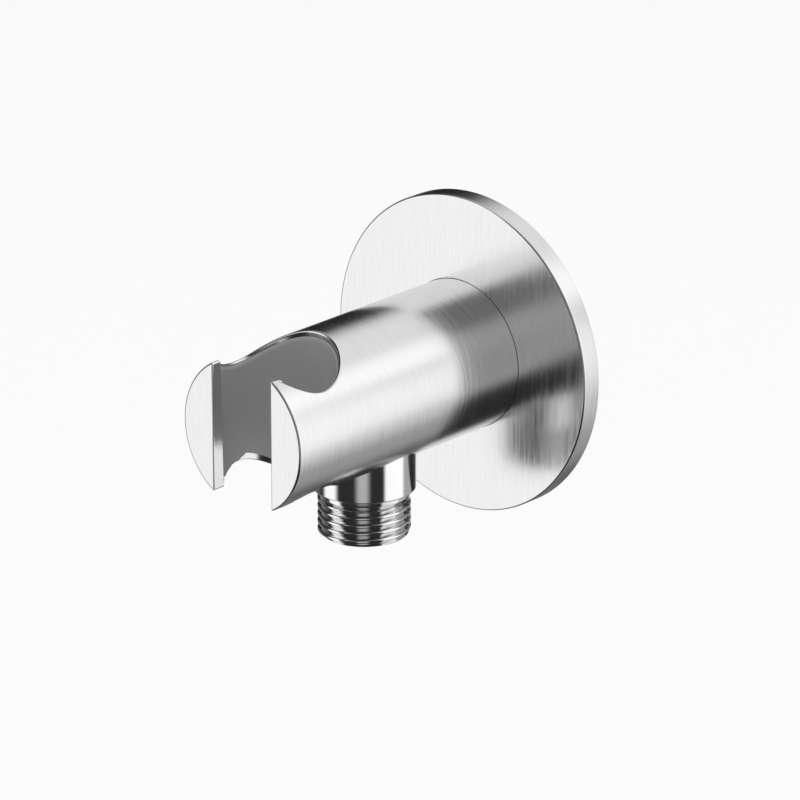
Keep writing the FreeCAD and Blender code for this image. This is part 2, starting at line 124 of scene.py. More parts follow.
@dataclass(frozen=True)
class TurningAxis:
    """A line that shapes are turned about, with the side on which their outlines are drawn."""

    origin: Vector
    along: Vector
    across: Vector

    def point(self, radius: float, distance: float) -> Vector:
        """The point at a radius on the outline's side, at a distance along the axis."""
        return self.origin + self.across * radius + self.along * distance

    def distance(self, point: Vector) -> float:
        """How far along the axis a point lies."""
        return (point - self.origin).dot(self.along)

    def spoke(self, point: Vector) -> Vector:
        """The vector from the axis straight out to a point."""
        offset = point - self.origin
        return offset - self.along * offset.dot(self.along)

    def angle(self, point: Vector) -> float:
        """The angle of a point about the axis, right-handed, from the outline's side."""
        offset = point - self.origin
        return math.atan2(offset.dot(self.along.cross(self.across)), offset.dot(self.across))

    def section_place(self, radius: float, distance: float) -> Matrix:
        """Where a flat round section is drawn before it is carried round the axis.

        Args:
            radius: the radius of the section's centre.
            distance: its distance along the axis.

        Returns:
            The place, for a circle drawn in its own XY plane.
        """
        side = self.along.cross(self.across)
        turn = Matrix((self.across, self.along, side)).transposed().to_4x4()
        return Matrix.Translation(self.point(radius, distance)) @ turn


def upright_axis(reach: float) -> TurningAxis:
    """The vertical axis at a reach."""
    return TurningAxis(Vector((0, -reach, 0)), Vector((0, 0, 1)), Vector((1, 0, 0)))


ARM_AXIS = TurningAxis(Vector((0, 0, 0)), Vector((0, -1, 0)), Vector((1, 0, 0)))
SPIGOT_AXIS = upright_axis(36.96)
CRADLE_AXIS = upright_axis(64.5)
SCREW_AXIS = upright_axis(7.6)


@dataclass(frozen=True)
class Corner:
    """A corner of a turned outline: its radius, its distance along the axis and its rounding."""

    radius: float
    distance: float
    ease: float = 0.0


def ease_corner(
    form: bmesh.types.BMesh, vert: bmesh.types.BMVert, radius: float, segments: int,
) -> None:
    """Round one corner of a flat face.

    Args:
        form: the mesh that holds the face.
        vert: the corner.
        radius: the radius of the rounding.
        segments: how many edges stand for the rounding.
    """
    first, second = [edge.other_vert(vert).co - vert.co for edge in vert.link_edges]
    setback = radius / math.tan(first.angle(second) / 2)
    bmesh.ops.bevel(
        form, geom=[vert], offset=setback, offset_type="OFFSET", segments=segments,
        profile=0.5, affect="VERTICES", clamp_overlap=True, material=-1)


def close_up(form: bmesh.types.BMesh) -> None:
    """Merge doubled points and point all the normals outwards.

    Args:
        form: the mesh.
    """
    bmesh.ops.remove_doubles(form, verts=form.verts, dist=MERGE_DISTANCE)
    bmesh.ops.dissolve_degenerate(form, edges=form.edges, dist=MERGE_DISTANCE)
    bmesh.ops.recalc_face_normals(form, faces=form.faces)


def spin_round(form: bmesh.types.BMesh, axis: TurningAxis, steps: int) -> None:
    """Turn all the edges of a mesh once round an axis."""
    bmesh.ops.spin(
        form, geom=form.verts[:] + form.edges[:], cent=axis.origin, axis=axis.along,
        dvec=(0, 0, 0), angle=FULL_TURN, steps=steps, use_merge=True)


def turned(
    axis: TurningAxis, corners: Sequence[Corner], steps: int = 192, segments: int = 4,
    open_after: int | None = None,
) -> bmesh.types.BMesh:
    """A shape turned about an axis from a closed outline.

    Args:
        axis: the axis that it is turned about.
        corners: the outline, in order.
        steps: how many flats make the full turn.
        segments: how many edges stand for a rounded corner.
        open_after: the corner after which the outline is left open, for a thread.

    Returns:
        The turned shape, closed unless a gap is left in its outline.
    """
    form = bmesh.new()
    verts = [form.verts.new(axis.point(corner.radius, corner.distance)) for corner in corners]
    form.faces.new(verts)
    for vert, corner in zip(verts, corners):
        if corner.ease > 0:
            ease_corner(form, vert, corner.ease, segments)
    bmesh.ops.delete(form, geom=form.faces[:], context="FACES_ONLY")
    spare = [edge for edge in form.edges if all(axis.spoke(v.co).length < 1e-6 for v in edge.verts)]
    if open_after is not None:
        spare.append(form.edges.get((verts[open_after], verts[open_after + 1])))
    bmesh.ops.delete(form, geom=spare, context="EDGES")
    spin_round(form, axis, steps)
    close_up(form)
    return form


@dataclass(frozen=True)
class ScrewThread:
    """A right-handed screw thread between two distances along a turning axis."""

    pitch: float
    root: float
    crest: float
    start: float
    end: float
    start_radius: float
    end_radius: float
    groove_at: float
    end_lead: float = 1.0
    points: int = 14
    crest_width: float = 1.42
    flank: float = 1.45
    rounding: float = 0.35

    def radius(self, turns: float, distance: float) -> float:
        """The thread's radius at one point.

        Args:
            turns: how many pitches the point lies past a crest.
            distance: its distance along the axis.

        Returns:
            The radius, cut back where the thread runs in at its ends.
        """
        away = abs((turns + 0.5) % 1.0 - 0.5) * 2
        rise = min(1.0, max(0.0, self.crest_width - self.flank * away))
        form = rise * rise * (3 - 2 * rise) * self.rounding + rise * (1 - self.rounding)
        thread = self.root + (self.crest - self.root) * form
        from_start = self.start_radius + (distance - self.start)
        from_end = self.end_radius + (self.end - distance) * self.end_lead
        return min(thread, from_start, from_end)

    def join(self, form: bmesh.types.BMesh, axis: TurningAxis, steps: int) -> None:
        """Add the thread to a turned shape and bridge it to the gap that was left for it.

        Args:
            form: the turned shape, open where the thread goes.
            axis: the axis of both.
            steps: how many flats make one turn of the shape.
        """
        step = self.pitch / self.points
        count = math.ceil((self.end - self.start + self.pitch) / step)
        low = self.start - self.pitch
        ends = [
            form.verts.new(axis.point(self.crest, low)),
            form.verts.new(axis.point(self.crest, low + count * step)),
        ]
        line = form.edges.new(ends)
        cut = bmesh.ops.subdivide_edges(form, edges=[line], cuts=count - 1)
        strand = list({item for item in cut["geom"] if isinstance(item, bmesh.types.BMEdge)})
        points = list({vert for edge in strand for vert in edge.verts})
        old = set(form.verts) - set(points)
        bmesh.ops.spin(
            form, geom=points + strand, cent=axis.origin, axis=axis.along,
            dvec=axis.along * (self.pitch / steps), angle=FULL_TURN, steps=steps)
        fresh = [vert for vert in form.verts if vert not in old]
        for vert in fresh:
            distance = min(self.end, max(self.start, axis.distance(vert.co)))
            turns = (distance - self.groove_at) / self.pitch - axis.angle(vert.co) / FULL_TURN + 0.5
            spoke = axis.spoke(vert.co).normalized() * self.radius(turns, distance)
            vert.co = axis.origin + axis.along * distance + spoke
        bmesh.ops.remove_doubles(form, verts=fresh, dist=SEAM_DISTANCE)
        rims = [edge for edge in form.edges if edge.is_boundary]
        middle = (self.start + self.end) / 2
        for side in (-1, 1):
            loops = [e for e in rims if (axis.distance(e.verts[0].co) - middle) * side > 0]
            bmesh.ops.bridge_loops(form, edges=loops)
        close_up(form)


def new_object(name: str, form: bmesh.types.BMesh) -> bpy.types.Object:
    """A new object from a mesh that is still being worked on, which is then let go.

    Args:
        name: the object's name.
        form: the mesh, which is used up.

    Returns:
        The object, in the scene.
    """
    mesh = bpy.data.meshes.new(name)
    form.to_mesh(mesh)
    form.free()
    piece = bpy.data.objects.new(name, mesh)
    bpy.context.scene.collection.objects.link(piece)
    return piece


def combine(piece: bpy.types.Object, tool: bpy.types.Object, joining: Joining) -> bpy.types.Object:
    """Act on a closed shape with another, and let the other go.

    Args:
        piece: the shape that is changed.
        tool: the shape that acts on it, which is used up.
        joining: how it acts.

    Returns:
        The changed piece.
    """
    step = piece.modifiers.new(joining.name, "BOOLEAN")
    step.operation = joining.value
    step.solver = "EXACT"
    step.object = tool
    graph = bpy.context.evaluated_depsgraph_get()
    mesh = bpy.data.meshes.new_from_object(piece.evaluated_get(graph), depsgraph=graph)
    piece.modifiers.clear()
    spent = [piece.data, tool.data]
    piece.data = mesh
    bpy.data.objects.remove(tool)
    for old in spent:
        bpy.data.meshes.remove(old)
    return piece


def tidy_up(piece: bpy.types.Object) -> None:
    """Merge the doubled points that cuts leave, and point the normals outwards.

    Args:
        piece: the cut piece.
    """
    form = bmesh.new()
    form.from_mesh(piece.data)
    close_up(form)
    form.to_mesh(piece.data)
    form.free()


def block(low: Sequence[float], high: Sequence[float]) -> bmesh.types.BMesh:
    """A box between two corners.

    Args:
        low: the lowest corner.
        high: the highest corner.

    Returns:
        The box.
    """
    form = bmesh.new()
    size = Vector(high) - Vector(low)
    place = Matrix.Translation((Vector(low) + Vector(high)) / 2) @ Matrix.Diagonal(size.to_4d())
    bmesh.ops.create_cube(form, size=1.0, matrix=place)
    return form


def rod(
    axis: TurningAxis, radius: float, start: float, end: float, steps: int = 192,
) -> bmesh.types.BMesh:
    """A plain cylinder between two distances along an axis."""
    corners = [Corner(0, start), Corner(radius, start), Corner(radius, end), Corner(0, end)]
    return turned(axis, corners, steps)


def push_out(form: bmesh.types.BMesh, face: bmesh.types.BMFace, push: Vector) -> None:
    """Extrude a face of a mesh to a closed solid.

    Args:
        form: the mesh.
        face: its only face.
        push: the way and the distance.
    """
    moved = bmesh.ops.extrude_face_region(form, geom=[face], use_keep_orig=True)
    tops = [item for item in moved["geom"] if isinstance(item, bmesh.types.BMVert)]
    bmesh.ops.translate(form, verts=tops, vec=push)
    close_up(form)


def prism(
    outline: Sequence[tuple[Vector, float]], push: Vector, segments: int = 6,
) -> bmesh.types.BMesh:
    """A flat outline with rounded corners, pushed out to a solid.

    Args:
        outline: the corners and their rounding radii.
        push: the way and the distance that the face is extruded.
        segments: how many edges stand for a rounded corner.

    Returns:
        The closed solid.
    """
    form = bmesh.new()
    verts = [form.verts.new(point) for point, radius in outline]
    form.faces.new(verts)
    for vert, (point, radius) in zip(verts, outline):
        if radius > 0:
            ease_corner(form, vert, radius, segments)
    push_out(form, form.faces[:][0], push)
    return form


def hexagon(
    axis: TurningAxis, flats: float, start: float, end: float, first: Vector,
) -> bmesh.types.BMesh:
    """A hexagonal prism on an axis, measured across its flats, with a corner towards `first`.

    Args:
        axis: the axis of the prism.
        flats: its size across its flats.
        start: where it starts along the axis.
        end: where it ends.
        first: the unit vector towards one of its corners.

    Returns:
        The closed solid.
    """
    form = bmesh.new()
    side = axis.along.cross(first)
    turn = Matrix((first, side, axis.along)).transposed().to_4x4()
    place = Matrix.Translation(axis.origin + axis.along * start) @ turn
    made = bmesh.ops.create_circle(
        form, cap_ends=True, segments=6, radius=flats / math.sqrt(3), matrix=place)
    push_out(form, made["verts"][0].link_faces[0], axis.along * (end - start))
    return form


def ring(
    axis: TurningAxis, centre_radius: float, section: float, distance: float,
) -> bmesh.types.BMesh:
    """An O-ring: a round section carried once round an axis.

    Args:
        axis: the axis of the ring.
        centre_radius: the radius of the section's centre.
        section: the section's own radius.
        distance: the ring's distance along the axis.

    Returns:
        The closed ring.
    """
    form = bmesh.new()
    place = axis.section_place(centre_radius, distance)
    bmesh.ops.create_circle(form, segments=20, radius=section, matrix=place)
    spin_round(form, axis, 128)
    close_up(form)
    return form


@dataclass(frozen=True)
class RoundSurface:
    """A cylinder or cone that faces of a cut piece lie on, which are shaded as truly round."""

    axis: TurningAxis
    radius: float
    slope: float = 0.0
    tolerance: float = 0.012

    def holds(self, point: Vector) -> bool:
        """Whether a point lies on the surface."""
        wanted = self.radius + self.slope * self.axis.distance(point)
        return abs(self.axis.spoke(point).length - wanted) < self.tolerance

    def normal(self, point: Vector) -> Vector:
        """The surface's outward normal at a point."""
        return (self.axis.spoke(point).normalized() - self.axis.along * self.slope).normalized()


def is_flat(normal: Vector) -> bool:
    """Whether a face looks straight along one of the frame's axes."""
    return max(abs(value) for value in normal) > 0.99999


def true_normals(mesh: bpy.types.Mesh, surfaces: Sequence[RoundSurface]) -> None:
    """Shade the faces that lie on round surfaces, and the flat ones, by their true normals.

    Args:
        mesh: the mesh of a cut piece.
        surfaces: the round surfaces that its faces may lie on.
    """
    wanted = [Vector((0, 0, 0))] * len(mesh.loops)
    for face in mesh.polygons:
        points = [mesh.vertices[index].co for index in face.vertices]
        if is_flat(face.normal):
            for loop in face.loop_indices:
                wanted[loop] = face.normal.copy()
            continue
        for surface in surfaces:
            if not all(surface.holds(point) for point in points):
                continue
            side = surface.normal(face.center).dot(face.normal)
            if abs(side) < 0.9:
                continue
            for loop, point in zip(face.loop_indices, points):
                wanted[loop] = surface.normal(point) * math.copysign(1.0, side)
            break
    mesh.normals_split_custom_set(wanted)


def settle(
    piece: bpy.types.Object, node: str, body: Body = Body.ELBOW,
    surfaces: Sequence[RoundSurface] = (),
) -> bpy.types.Object:
    """Scale a piece to metres, shade it and put it in its place in the model.

    Args:
        piece: the finished piece, in millimetres.
        node: the CAD node that it stands for.
        body: the body that it rides on.
        surfaces: the round surfaces of a cut piece; a piece without any is shaded by face size.

    Returns:
        The piece.
    """
    mesh = piece.data
    mesh.shade_smooth()
    mesh.set_sharp_from_angle(angle=math.radians(34))
    if surfaces:
        true_normals(mesh, surfaces)
    else:
        shading = piece.modifiers.new("shading", "WEIGHTED_NORMAL")
        shading.keep_sharp = True
        shading.weight = 95
    mesh.transform(Matrix.Scale(METRES, 4))
    mesh.update()
    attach(piece, body.value)
    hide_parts(node)
    LOG.info("%s: %d faces, rides on %s", piece.name, len(mesh.polygons), body.value)
    return piece


def dress(
    form: bmesh.types.BMesh, node: str, finish: bpy.types.Material,
    body: Body = Body.ELBOW,
) -> bpy.types.Object:
    """Make the piece that stands for a node from one mesh with one finish.

    Args:
        form: the piece's mesh, in millimetres, which is used up.
        node: the CAD node that it stands for.
        finish: its material.
        body: the body that it rides on.

    Returns:
        The piece.
    """
    piece = new_object(node + ".look", form)
    piece.data.materials.append(finish)
    return settle(piece, node, body)


def assign(piece: bpy.types.Object, choose: Callable[[Vector, Vector], Skin]) -> None:
    """Give each face of a piece the finish that suits its place and direction."""
    for face in piece.data.polygons:
        face.material_index = choose(face.center, face.normal).value


class Shader:
    """A short way to write a node tree."""

    def __init__(self, tree: bpy.types.NodeTree) -> None:
        """Start from an empty tree."""
        self.tree = tree
        tree.nodes.clear()

    def add(self, kind: str, inputs: dict | None = None, **settings: object) -> bpy.types.Node:
        """Add a node.

        Args:
            kind: the node's type name, without the leading ShaderNode.
            inputs: values or sockets for its inputs, by name or number.
            settings: attributes of the node.

        Returns:
            The new node.
        """
        node = self.tree.nodes.new("ShaderNode" + kind)
        for key, value in settings.items():
            setattr(node, key, value)
        for key, value in (inputs or {}).items():
            if isinstance(value, bpy.types.NodeSocket):
                self.tree.links.new(value, node.inputs[key])
            else:
                node.inputs[key].default_value = value
        return node

    def math(self, operation: str, first: object, second: object = 0.0) -> bpy.types.NodeSocket:
        """The result of a sum of two values."""
        return self.add("Math", {0: first, 1: second}, operation=operation).outputs[0]

    def ramp(
        self, value: object, low: float, high: float, start: float = 0.0, end: float = 1.0,
        curve: str = "SMOOTHSTEP",
    ) -> bpy.types.NodeSocket:
        """A change from `start` to `end` as a value goes from `low` to `high`."""
        inputs = {"Value": value, "From Min": low, "From Max": high, "To Min": start, "To Max": end}
        return self.add("MapRange", inputs, interpolation_type=curve).outputs[0]

    def linear(
        self, value: object, low: float, high: float, start: float = 0.0, end: float = 1.0,
    ) -> bpy.types.NodeSocket:
        """A straight change from `start` to `end` as a value goes from `low` to `high`."""
        return self.ramp(value, low, high, start, end, "LINEAR")

    def mean(self, first: object, second: object) -> bpy.types.NodeSocket:
        """The mean of two values."""
        return self.math("MULTIPLY", self.math("ADD", first, second), 0.5)

    def bump(self, height: object, depth: float) -> bpy.types.NodeSocket:
        """The normal of a surface with a fine relief of a depth in metres."""
        inputs = {"Height": height, "Strength": 1.0, "Distance": depth}
        return self.add("Bump", inputs).outputs[0]

    def finish(self, **inputs: object) -> None:
        """End the tree with a surface.

        Args:
            inputs: the surface's inputs, named with low lines for spaces.
        """
        named = {key.replace("_", " "): value for key, value in inputs.items()}
        surface = self.add("BsdfPrincipled", named)
        self.add("OutputMaterial", {"Surface": surface.outputs[0]})

    def noise(self, place: object, scale: float, detail: float = 2.0) -> bpy.types.NodeSocket:
        """Noise between 0 and 1."""
        return self.add("TexNoise", {"Vector": place, "Scale": scale, "Detail": detail}).outputs[0]

    def mixed(self, share: object, first: object, second: object) -> bpy.types.NodeSocket:
        """A colour between two colours."""
        return self.add("Mix", {0: share, 6: first, 7: second}, data_type="RGBA").outputs[2]

    def tinted(
        self, noise: object, colour: tuple[float, float, float], shade: float,
        low: float = NOISE_LOW, high: float = NOISE_HIGH,
    ) -> bpy.types.NodeSocket:
        """A colour that noise darkens in places by a share of its level."""
        dull = (*(value * (1 - shade) for value in colour), 1.0)
        return self.mixed(self.linear(noise, low, high), dull, (*colour, 1.0))

    def about(self, noise: object, middle: float, spread: float) -> bpy.types.NodeSocket:
        """A value that noise moves to either side of its middle."""
        return self.linear(noise, NOISE_LOW, NOISE_HIGH, middle - spread, middle + spread)

    def place(self) -> bpy.types.NodeSocket:
        """A point's place in the object's own coordinates, in metres."""
        return self.add("TexCoord").outputs["Object"]

    def stretched(self, place: bpy.types.NodeSocket, scale: Sequence[float]) -> bpy.types.NodeSocket:
        """A place with each coordinate scaled by its own factor."""
        return self.add("Mapping", {"Vector": place, "Scale": scale}).outputs[0]


def grey(level: float) -> tuple[float, float, float, float]:
    """A neutral colour."""
    return (level, level, level, 1.0)


def new_material(name: str) -> tuple[bpy.types.Material, Shader]:
    """An empty material and the writer of its tree.

    Args:
        name: the material's name.

    Returns:
        The material and the writer.
    """
    material = bpy.data.materials.new(name)
    material.use_nodes = True
    return material, Shader(material.node_tree)


@dataclass(frozen=True)
class BrushedMetal:
    """Plated metal brushed to fine straight hairlines."""

    name: str
    grain: Grain
    dark: float = 0.71
    light: float = 0.80
    roughness: float = 0.20
    spread: float = 0.04
    hairline: float = 4400.0
    streak: float = 2400.0
    depth: float = 0.0000009

    def make(self) -> bpy.types.Material:
        """Build the material.

        Returns:
            The material.
        """
        material, shader = new_material(self.name)
        place = shader.stretched(shader.place(), self.grain.value)
        hair = shader.noise(place, self.hairline, 3.0)
        streak = shader.noise(place, self.streak, 2.0)
        mean = shader.mean(hair, streak)
        share = shader.linear(mean, NOISE_LOW, NOISE_HIGH)
        shader.finish(
            Base_Color=shader.mixed(share, grey(self.dark), grey(self.light)), Metallic=1.0,
            Roughness=shader.about(streak, self.roughness, self.spread),
            Normal=shader.bump(mean, self.depth))
        return material


@dataclass(frozen=True)
class TurnedMetal:
    """Metal turned on a lathe, with fine marks that follow the turning."""

    name: str
    colour: tuple[float, float, float]
    roughness: float
    marks: tuple[float, float, float] = (0.02, 0.02, 1.0)
    fineness: float = 3600.0
    depth: float = 0.000001
    spread: float = 0.02
    tarnish: float = 0.05

    def make(self) -> bpy.types.Material:
        """Build the material.

        Returns:
            The material.
        """
        material, shader = new_material(self.name)
        place = shader.place()
        turning = shader.noise(shader.stretched(place, self.marks), self.fineness, 3.0)
        cloud = shader.noise(place, 180.0, 3.0)
        mean = shader.mean(turning, cloud)
        shader.finish(
            Base_Color=shader.tinted(mean, self.colour, self.tarnish, 0.35, 0.65), Metallic=1.0,
            Roughness=shader.about(cloud, self.roughness, self.spread),
            Normal=shader.bump(turning, self.depth))
        return material


@dataclass(frozen=True)
class Moulded:
    """Moulded plastic, rubber or foam with a fine surface grain."""

    name: str
    colour: tuple[float, float, float]
    roughness: float
    grain: float = 2600.0
    depth: float = 0.000012
    spread: float = 0.06
    shade: float = 0.06
    cells: bool = False

    def make(self) -> bpy.types.Material:
        """Build the material.

        Returns:
            The material.
        """
        material, shader = new_material(self.name)
        place = shader.place()
        fine = shader.noise(place, self.grain, 2.0)
        if self.cells:
            fine = shader.add("TexVoronoi", {"Vector": place, "Scale": self.grain}).outputs[0]
        cloud = shader.noise(place, 120.0, 3.0)
        shader.finish(
            Base_Color=shader.tinted(shader.mean(fine, cloud), self.colour, self.shade),
            Roughness=shader.about(cloud, self.roughness, self.spread),
            Normal=shader.bump(fine, self.depth))
        return material


class Finishes:
    """Every finish of the object, made once."""

    def __init__(self) -> None:
        """Make the materials."""
        around = (1.0, 0.02, 0.02)
        self.brushed_round = BrushedMetal("brushed around the arm", Grain.AROUND_ARM).make()
        self.brushed_flat = BrushedMetal("brushed upright", Grain.UPRIGHT).make()
        self.bored = TurnedMetal("bored metal", (0.72, 0.72, 0.72), 0.16).make()
        self.polished = TurnedMetal(
            "polished metal", (0.83, 0.83, 0.83), 0.10, depth=0.0000022).make()
        self.brass = TurnedMetal(
            "turned brass", (0.72, 0.53, 0.27), 0.26, (0.02, 1.0, 0.02), tarnish=0.14).make()
        self.screw = TurnedMetal("screw steel", (0.45, 0.45, 0.46), 0.3, tarnish=0.1).make()
        self.spring = TurnedMetal("spring wire", (0.55, 0.55, 0.56), 0.22, around).make()
        self.liner = Moulded("grey liner plastic", (0.3, 0.3, 0.305), 0.5).make()
        self.acetal = Moulded("white acetal", (0.82, 0.82, 0.79), 0.38, depth=0.000005).make()
        self.rubber = Moulded("black rubber", (0.03, 0.03, 0.03), 0.6, depth=0.000006).make()
        self.foam = Moulded(
            "closed-cell foam", (0.1, 0.1, 0.105), 0.85, 1700.0, 0.00012, cells=True).make()

    def skins(self) -> tuple[bpy.types.Material, bpy.types.Material, bpy.types.Material]:
        """The finishes of a brushed piece, in the order of the skins."""
        return (self.brushed_round, self.brushed_flat, self.bored)


@dataclass
class FlaredBore:
    """A cutter for an upright bore whose edge with the skin is rounded as by a rolling ball."""

    skin_radius: float
    radius: float
    slope: float
    ease: float
    bottom: float
    lower_ease: float = 0.0
    height: float = FAR
    overshoot: float = 1.0
    steps: int = 256
    segments: int = 6

    def wall(self, level: float) -> float:
        """The bore's radius at a level."""
        return self.radius + self.slope * level

    def edge(self, spoke: Vector, side: int, ease: float) -> list[Vector]:
        """The rounded edge in one direction, from the wall out, past the skin and away.

        Args:
            spoke: the unit vector out from the bore's axis.
            side: 1 for the upper edge and -1 for the lower one.
            ease: the radius of the rounding.

        Returns:
            The points of the edge.
        """
        level = side * self.skin_radius
        inner = self.skin_radius - ease
        for _ in range(4):
            ball = CRADLE_AXIS.origin + spoke * (self.wall(level) + ease)
            ball.z = side * math.sqrt(inner ** 2 - ball.x ** 2)
            level = ball.z
        onto_skin = Vector((ball.x, 0, ball.z)) / inner
        points = [
            ball + (-spoke).slerp(onto_skin, step / self.segments) * ease
            for step in range(self.segments + 1)]
        away = (onto_skin * onto_skin.dot(-spoke) + spoke).normalized()
        return self.run_out(points, away, side)

    def run_out(self, points: list[Vector], away: Vector, side: int) -> list[Vector]:
        """An edge's points, followed by two that lead the cutter clear of the skin."""
        out = points[-1] + away * self.overshoot
        return points + [out, Vector((out.x, out.y, side * self.height))]

    def profile(self, spoke: Vector) -> list[Vector]:
        """The bore's side in one direction.

        Args:
            spoke: the unit vector out from the bore's axis.

        Returns:
            The points of the side, from the bottom up.
        """
        if self.lower_ease > 0:
            start = self.edge(spoke, -1, self.lower_ease)[::-1]
        else:
            foot = Vector((0, 0, self.bottom))
            start = [CRADLE_AXIS.origin + spoke * self.wall(self.bottom) + foot]
        return start + self.edge(spoke, 1, self.ease)

    def make(self) -> bpy.types.Object:
        """Build the cutter: a circle extruded ring by ring along the profiles.

        Returns:
            The cutter.
        """
        form = bmesh.new()
        number = form.verts.layers.int.new("direction")
        place = Matrix.Translation(CRADLE_AXIS.origin)
        verts = bmesh.ops.create_circle(form, segments=self.steps, radius=1.0, matrix=place)["verts"]
        edges = form.edges[:]
        profiles = [self.profile(CRADLE_AXIS.spoke(vert.co)) for vert in verts]
        for index, vert in enumerate(verts):
            vert[number] = index
        for ring_number in range(len(profiles[0])):
            if ring_number > 0:
                grown = bmesh.ops.extrude_edge_only(form, edges=edges)
                verts = [item for item in grown["geom"] if isinstance(item, bmesh.types.BMVert)]
                fresh = set(verts)
                edges = [item for item in grown["geom"]
                         if isinstance(item, bmesh.types.BMEdge) and set(item.verts) <= fresh]
            for vert in verts:
                vert.co = profiles[vert[number]][ring_number]
        bmesh.ops.holes_fill(form, edges=[edge for edge in form.edges if edge.is_boundary])
        close_up(form)
        return new_object("flared bore", form)


@dataclass
class LiningBore(FlaredBore):
    """The cutter for the lining's inside, with the wide rounded rim that follows the arm's skin."""

    rim_radius: float = 13.05
    rim_height: float = 1.1
    rim_drop: float = 1.3

    def edge(self, spoke: Vector, side: int, ease: float) -> list[Vector]:
        """The rim in one direction: an arc from the bore's wall to the lining's outside.

        Args:
            spoke: the unit vector out from the bore's axis.
            side: 1, as only the upper edge has a rim.
            ease: not used, as the rim's own sizes give its radius.

        Returns:
            The points of the rim.
        """
        outer = CRADLE_AXIS.origin + spoke * self.rim_radius
        top = math.sqrt(self.skin_radius ** 2 - outer.x ** 2) - self.rim_drop
        wall = self.wall(top - self.rim_height)
        width = self.rim_radius - wall
        radius = (width ** 2 + self.rim_height ** 2) / (2 * width)
        sweep = math.asin(self.rim_height / radius)
        points = []
        for step in range(self.segments + 1):
            angle = sweep * step / self.segments
            point = CRADLE_AXIS.origin + spoke * (wall + radius * (1 - math.cos(angle)))
            point.z = top - self.rim_height + radius * math.sin(angle)
            points.append(point)
        away = spoke * math.sin(sweep) + Vector((0, 0, math.cos(sweep)))
        return self.run_out(points, away, side)


@dataclass
class CradleForm:
    """Shapes that the arm's seat and its lining share: the room for the lining and the mouth."""

    mouth_half: float = 8.6
    front_reach: float = 76.29
    edge_ease: float = 0.45
    bore_middle: float = 12.45
    bore_slope: float = 0.0157
    return_half: float = 9.3
    lining_gap: float = 0.12
    skim: float = 0.003
    mouth_flare: float = 3.0
    mouth_run: float = 20.0
    ledge_radius: float = 16.25
    shoulder: tuple[float, float, float] = (-2.1, -10.93, 0.8)
    step: tuple[float, float, float] = (0.9, -12.13, 0.8)
    inner: tuple[float, float, float] = (2.8, -12.13, 0.5)
    bottom: tuple[float, float, float] = (2.8, -13.93, 0.9)

    def tab_slab(self, gap: float) -> bpy.types.Object:
        """The slab, seen from the side, in which the lining reaches down beside the mouth.

        Args:
            gap: how far the slab's outline is grown.

        Returns:
            The solid slab, right across the arm.
        """
        middle = CRADLE_AXIS.origin.y
        top = 2.0
        outline = [(Vector((-FARTHER, -BEYOND_FRONT, top)), 0.0)]
        outline.append((Vector((-FARTHER, middle - self.shoulder[0] + gap, top)), 0.0))
        for run, level, radius in (self.shoulder, self.step, self.inner, self.bottom):
            outline.append((Vector((-FARTHER, middle - run + gap, level - gap)), radius))
        outline.append((Vector((-FARTHER, -BEYOND_FRONT, self.bottom[1] - gap)), 0.0))
        return new_object("tab slab", prism(outline, Vector((2 * FARTHER, 0, 0))))

    def room(self, skin_radius: float, gap: float) -> bpy.types.Object:
        """The space that the lining keeps to: above the ledge, and deeper beside the mouth.

        Args:
            skin_radius: how far from the arm's axis the deeper space goes.
            gap: how far the outline beside the mouth is grown.

        Returns:
            The solid space.
        """
        deep = new_object("deep", rod(ARM_AXIS, skin_radius, 0.0, BEYOND_FRONT))
        combine(deep, self.tab_slab(gap), Joining.KEEP)
        shallow = rod(ARM_AXIS, self.ledge_radius, 1.0, BEYOND_FRONT - 1.0, 256)
        shallow = new_object("room", shallow)
        return combine(shallow, deep, Joining.ADD)

    def front_gap(self, half: float, corner: float) -> bpy.types.Object:
        """The room kept free at the front of the cradle.

        Args:
            half: its half width.
            corner: how far the tabs' lower corners beside it are rounded.

        Returns:
            The solid room.
        """
        back = CRADLE_AXIS.origin.y - 4.0
        low = self.bottom[1] - self.skim
        side = 20.0
        outline = [
            (half, FARTHER, 0.0), (half, low, corner), (side, low, 0.0), (side, -FARTHER, 0.0)]
        places = [(Vector((x, back, z)), ease) for x, z, ease in outline]
        places += [(Vector((-x, back, z)), ease) for x, z, ease in outline[::-1]]
        run = self.front_reach + 5.0 + back
        return new_object("front gap", prism(places, Vector((0, -run, 0))))

    def mouth(self, skin_radius: float) -> bpy.types.Object:
        """The slot that opens the cradle to the front, with its edges rounded.

        Args:
            skin_radius: the radius of the arm that it is cut in.

        Returns:
            The cutter, which is wider outside the skin and in front of the front face.
        """
        half = self.mouth_half
        ease = self.edge_ease
        inner = skin_radius - ease
        lean = Vector((half + ease, math.sqrt(inner ** 2 - (half + ease) ** 2))) / inner
        wide = half + self.mouth_flare
        back = CRADLE_AXIS.origin.y
        seen_from_front = []
        for across, up in ((1, 1), (-1, 1), (-1, -1), (1, -1)):
            levels = [(skin_radius - lean.x * width) / lean.y for width in (half, wide)]
            corners = [(half, levels[0], ease), (wide, levels[1], 0.0), (wide, FAR, 0.0)]
            places = [(Vector((across * x, back, up * z)), radius) for x, z, radius in corners]
            seen_from_front += places if across == up else places[::-1]
        slot = new_object("mouth", prism(seen_from_front, Vector((0, -self.mouth_run, 0))))
        front = -self.front_reach - self.skim
        corners = [(half, back, 0.0), (half, front, ease), (FAR, front, 0.0), (FAR, front - 2, 0.0)]
        seen_from_above = []
        for across in (1, -1):
            places = [(Vector((across * x, y, -FAR)), radius) for x, y, radius in corners]
            seen_from_above += places if across == 1 else places[::-1]
        flare = new_object("flare", prism(seen_from_above, Vector((0, 0, 2 * FAR))))
        return combine(slot, flare, Joining.ADD)


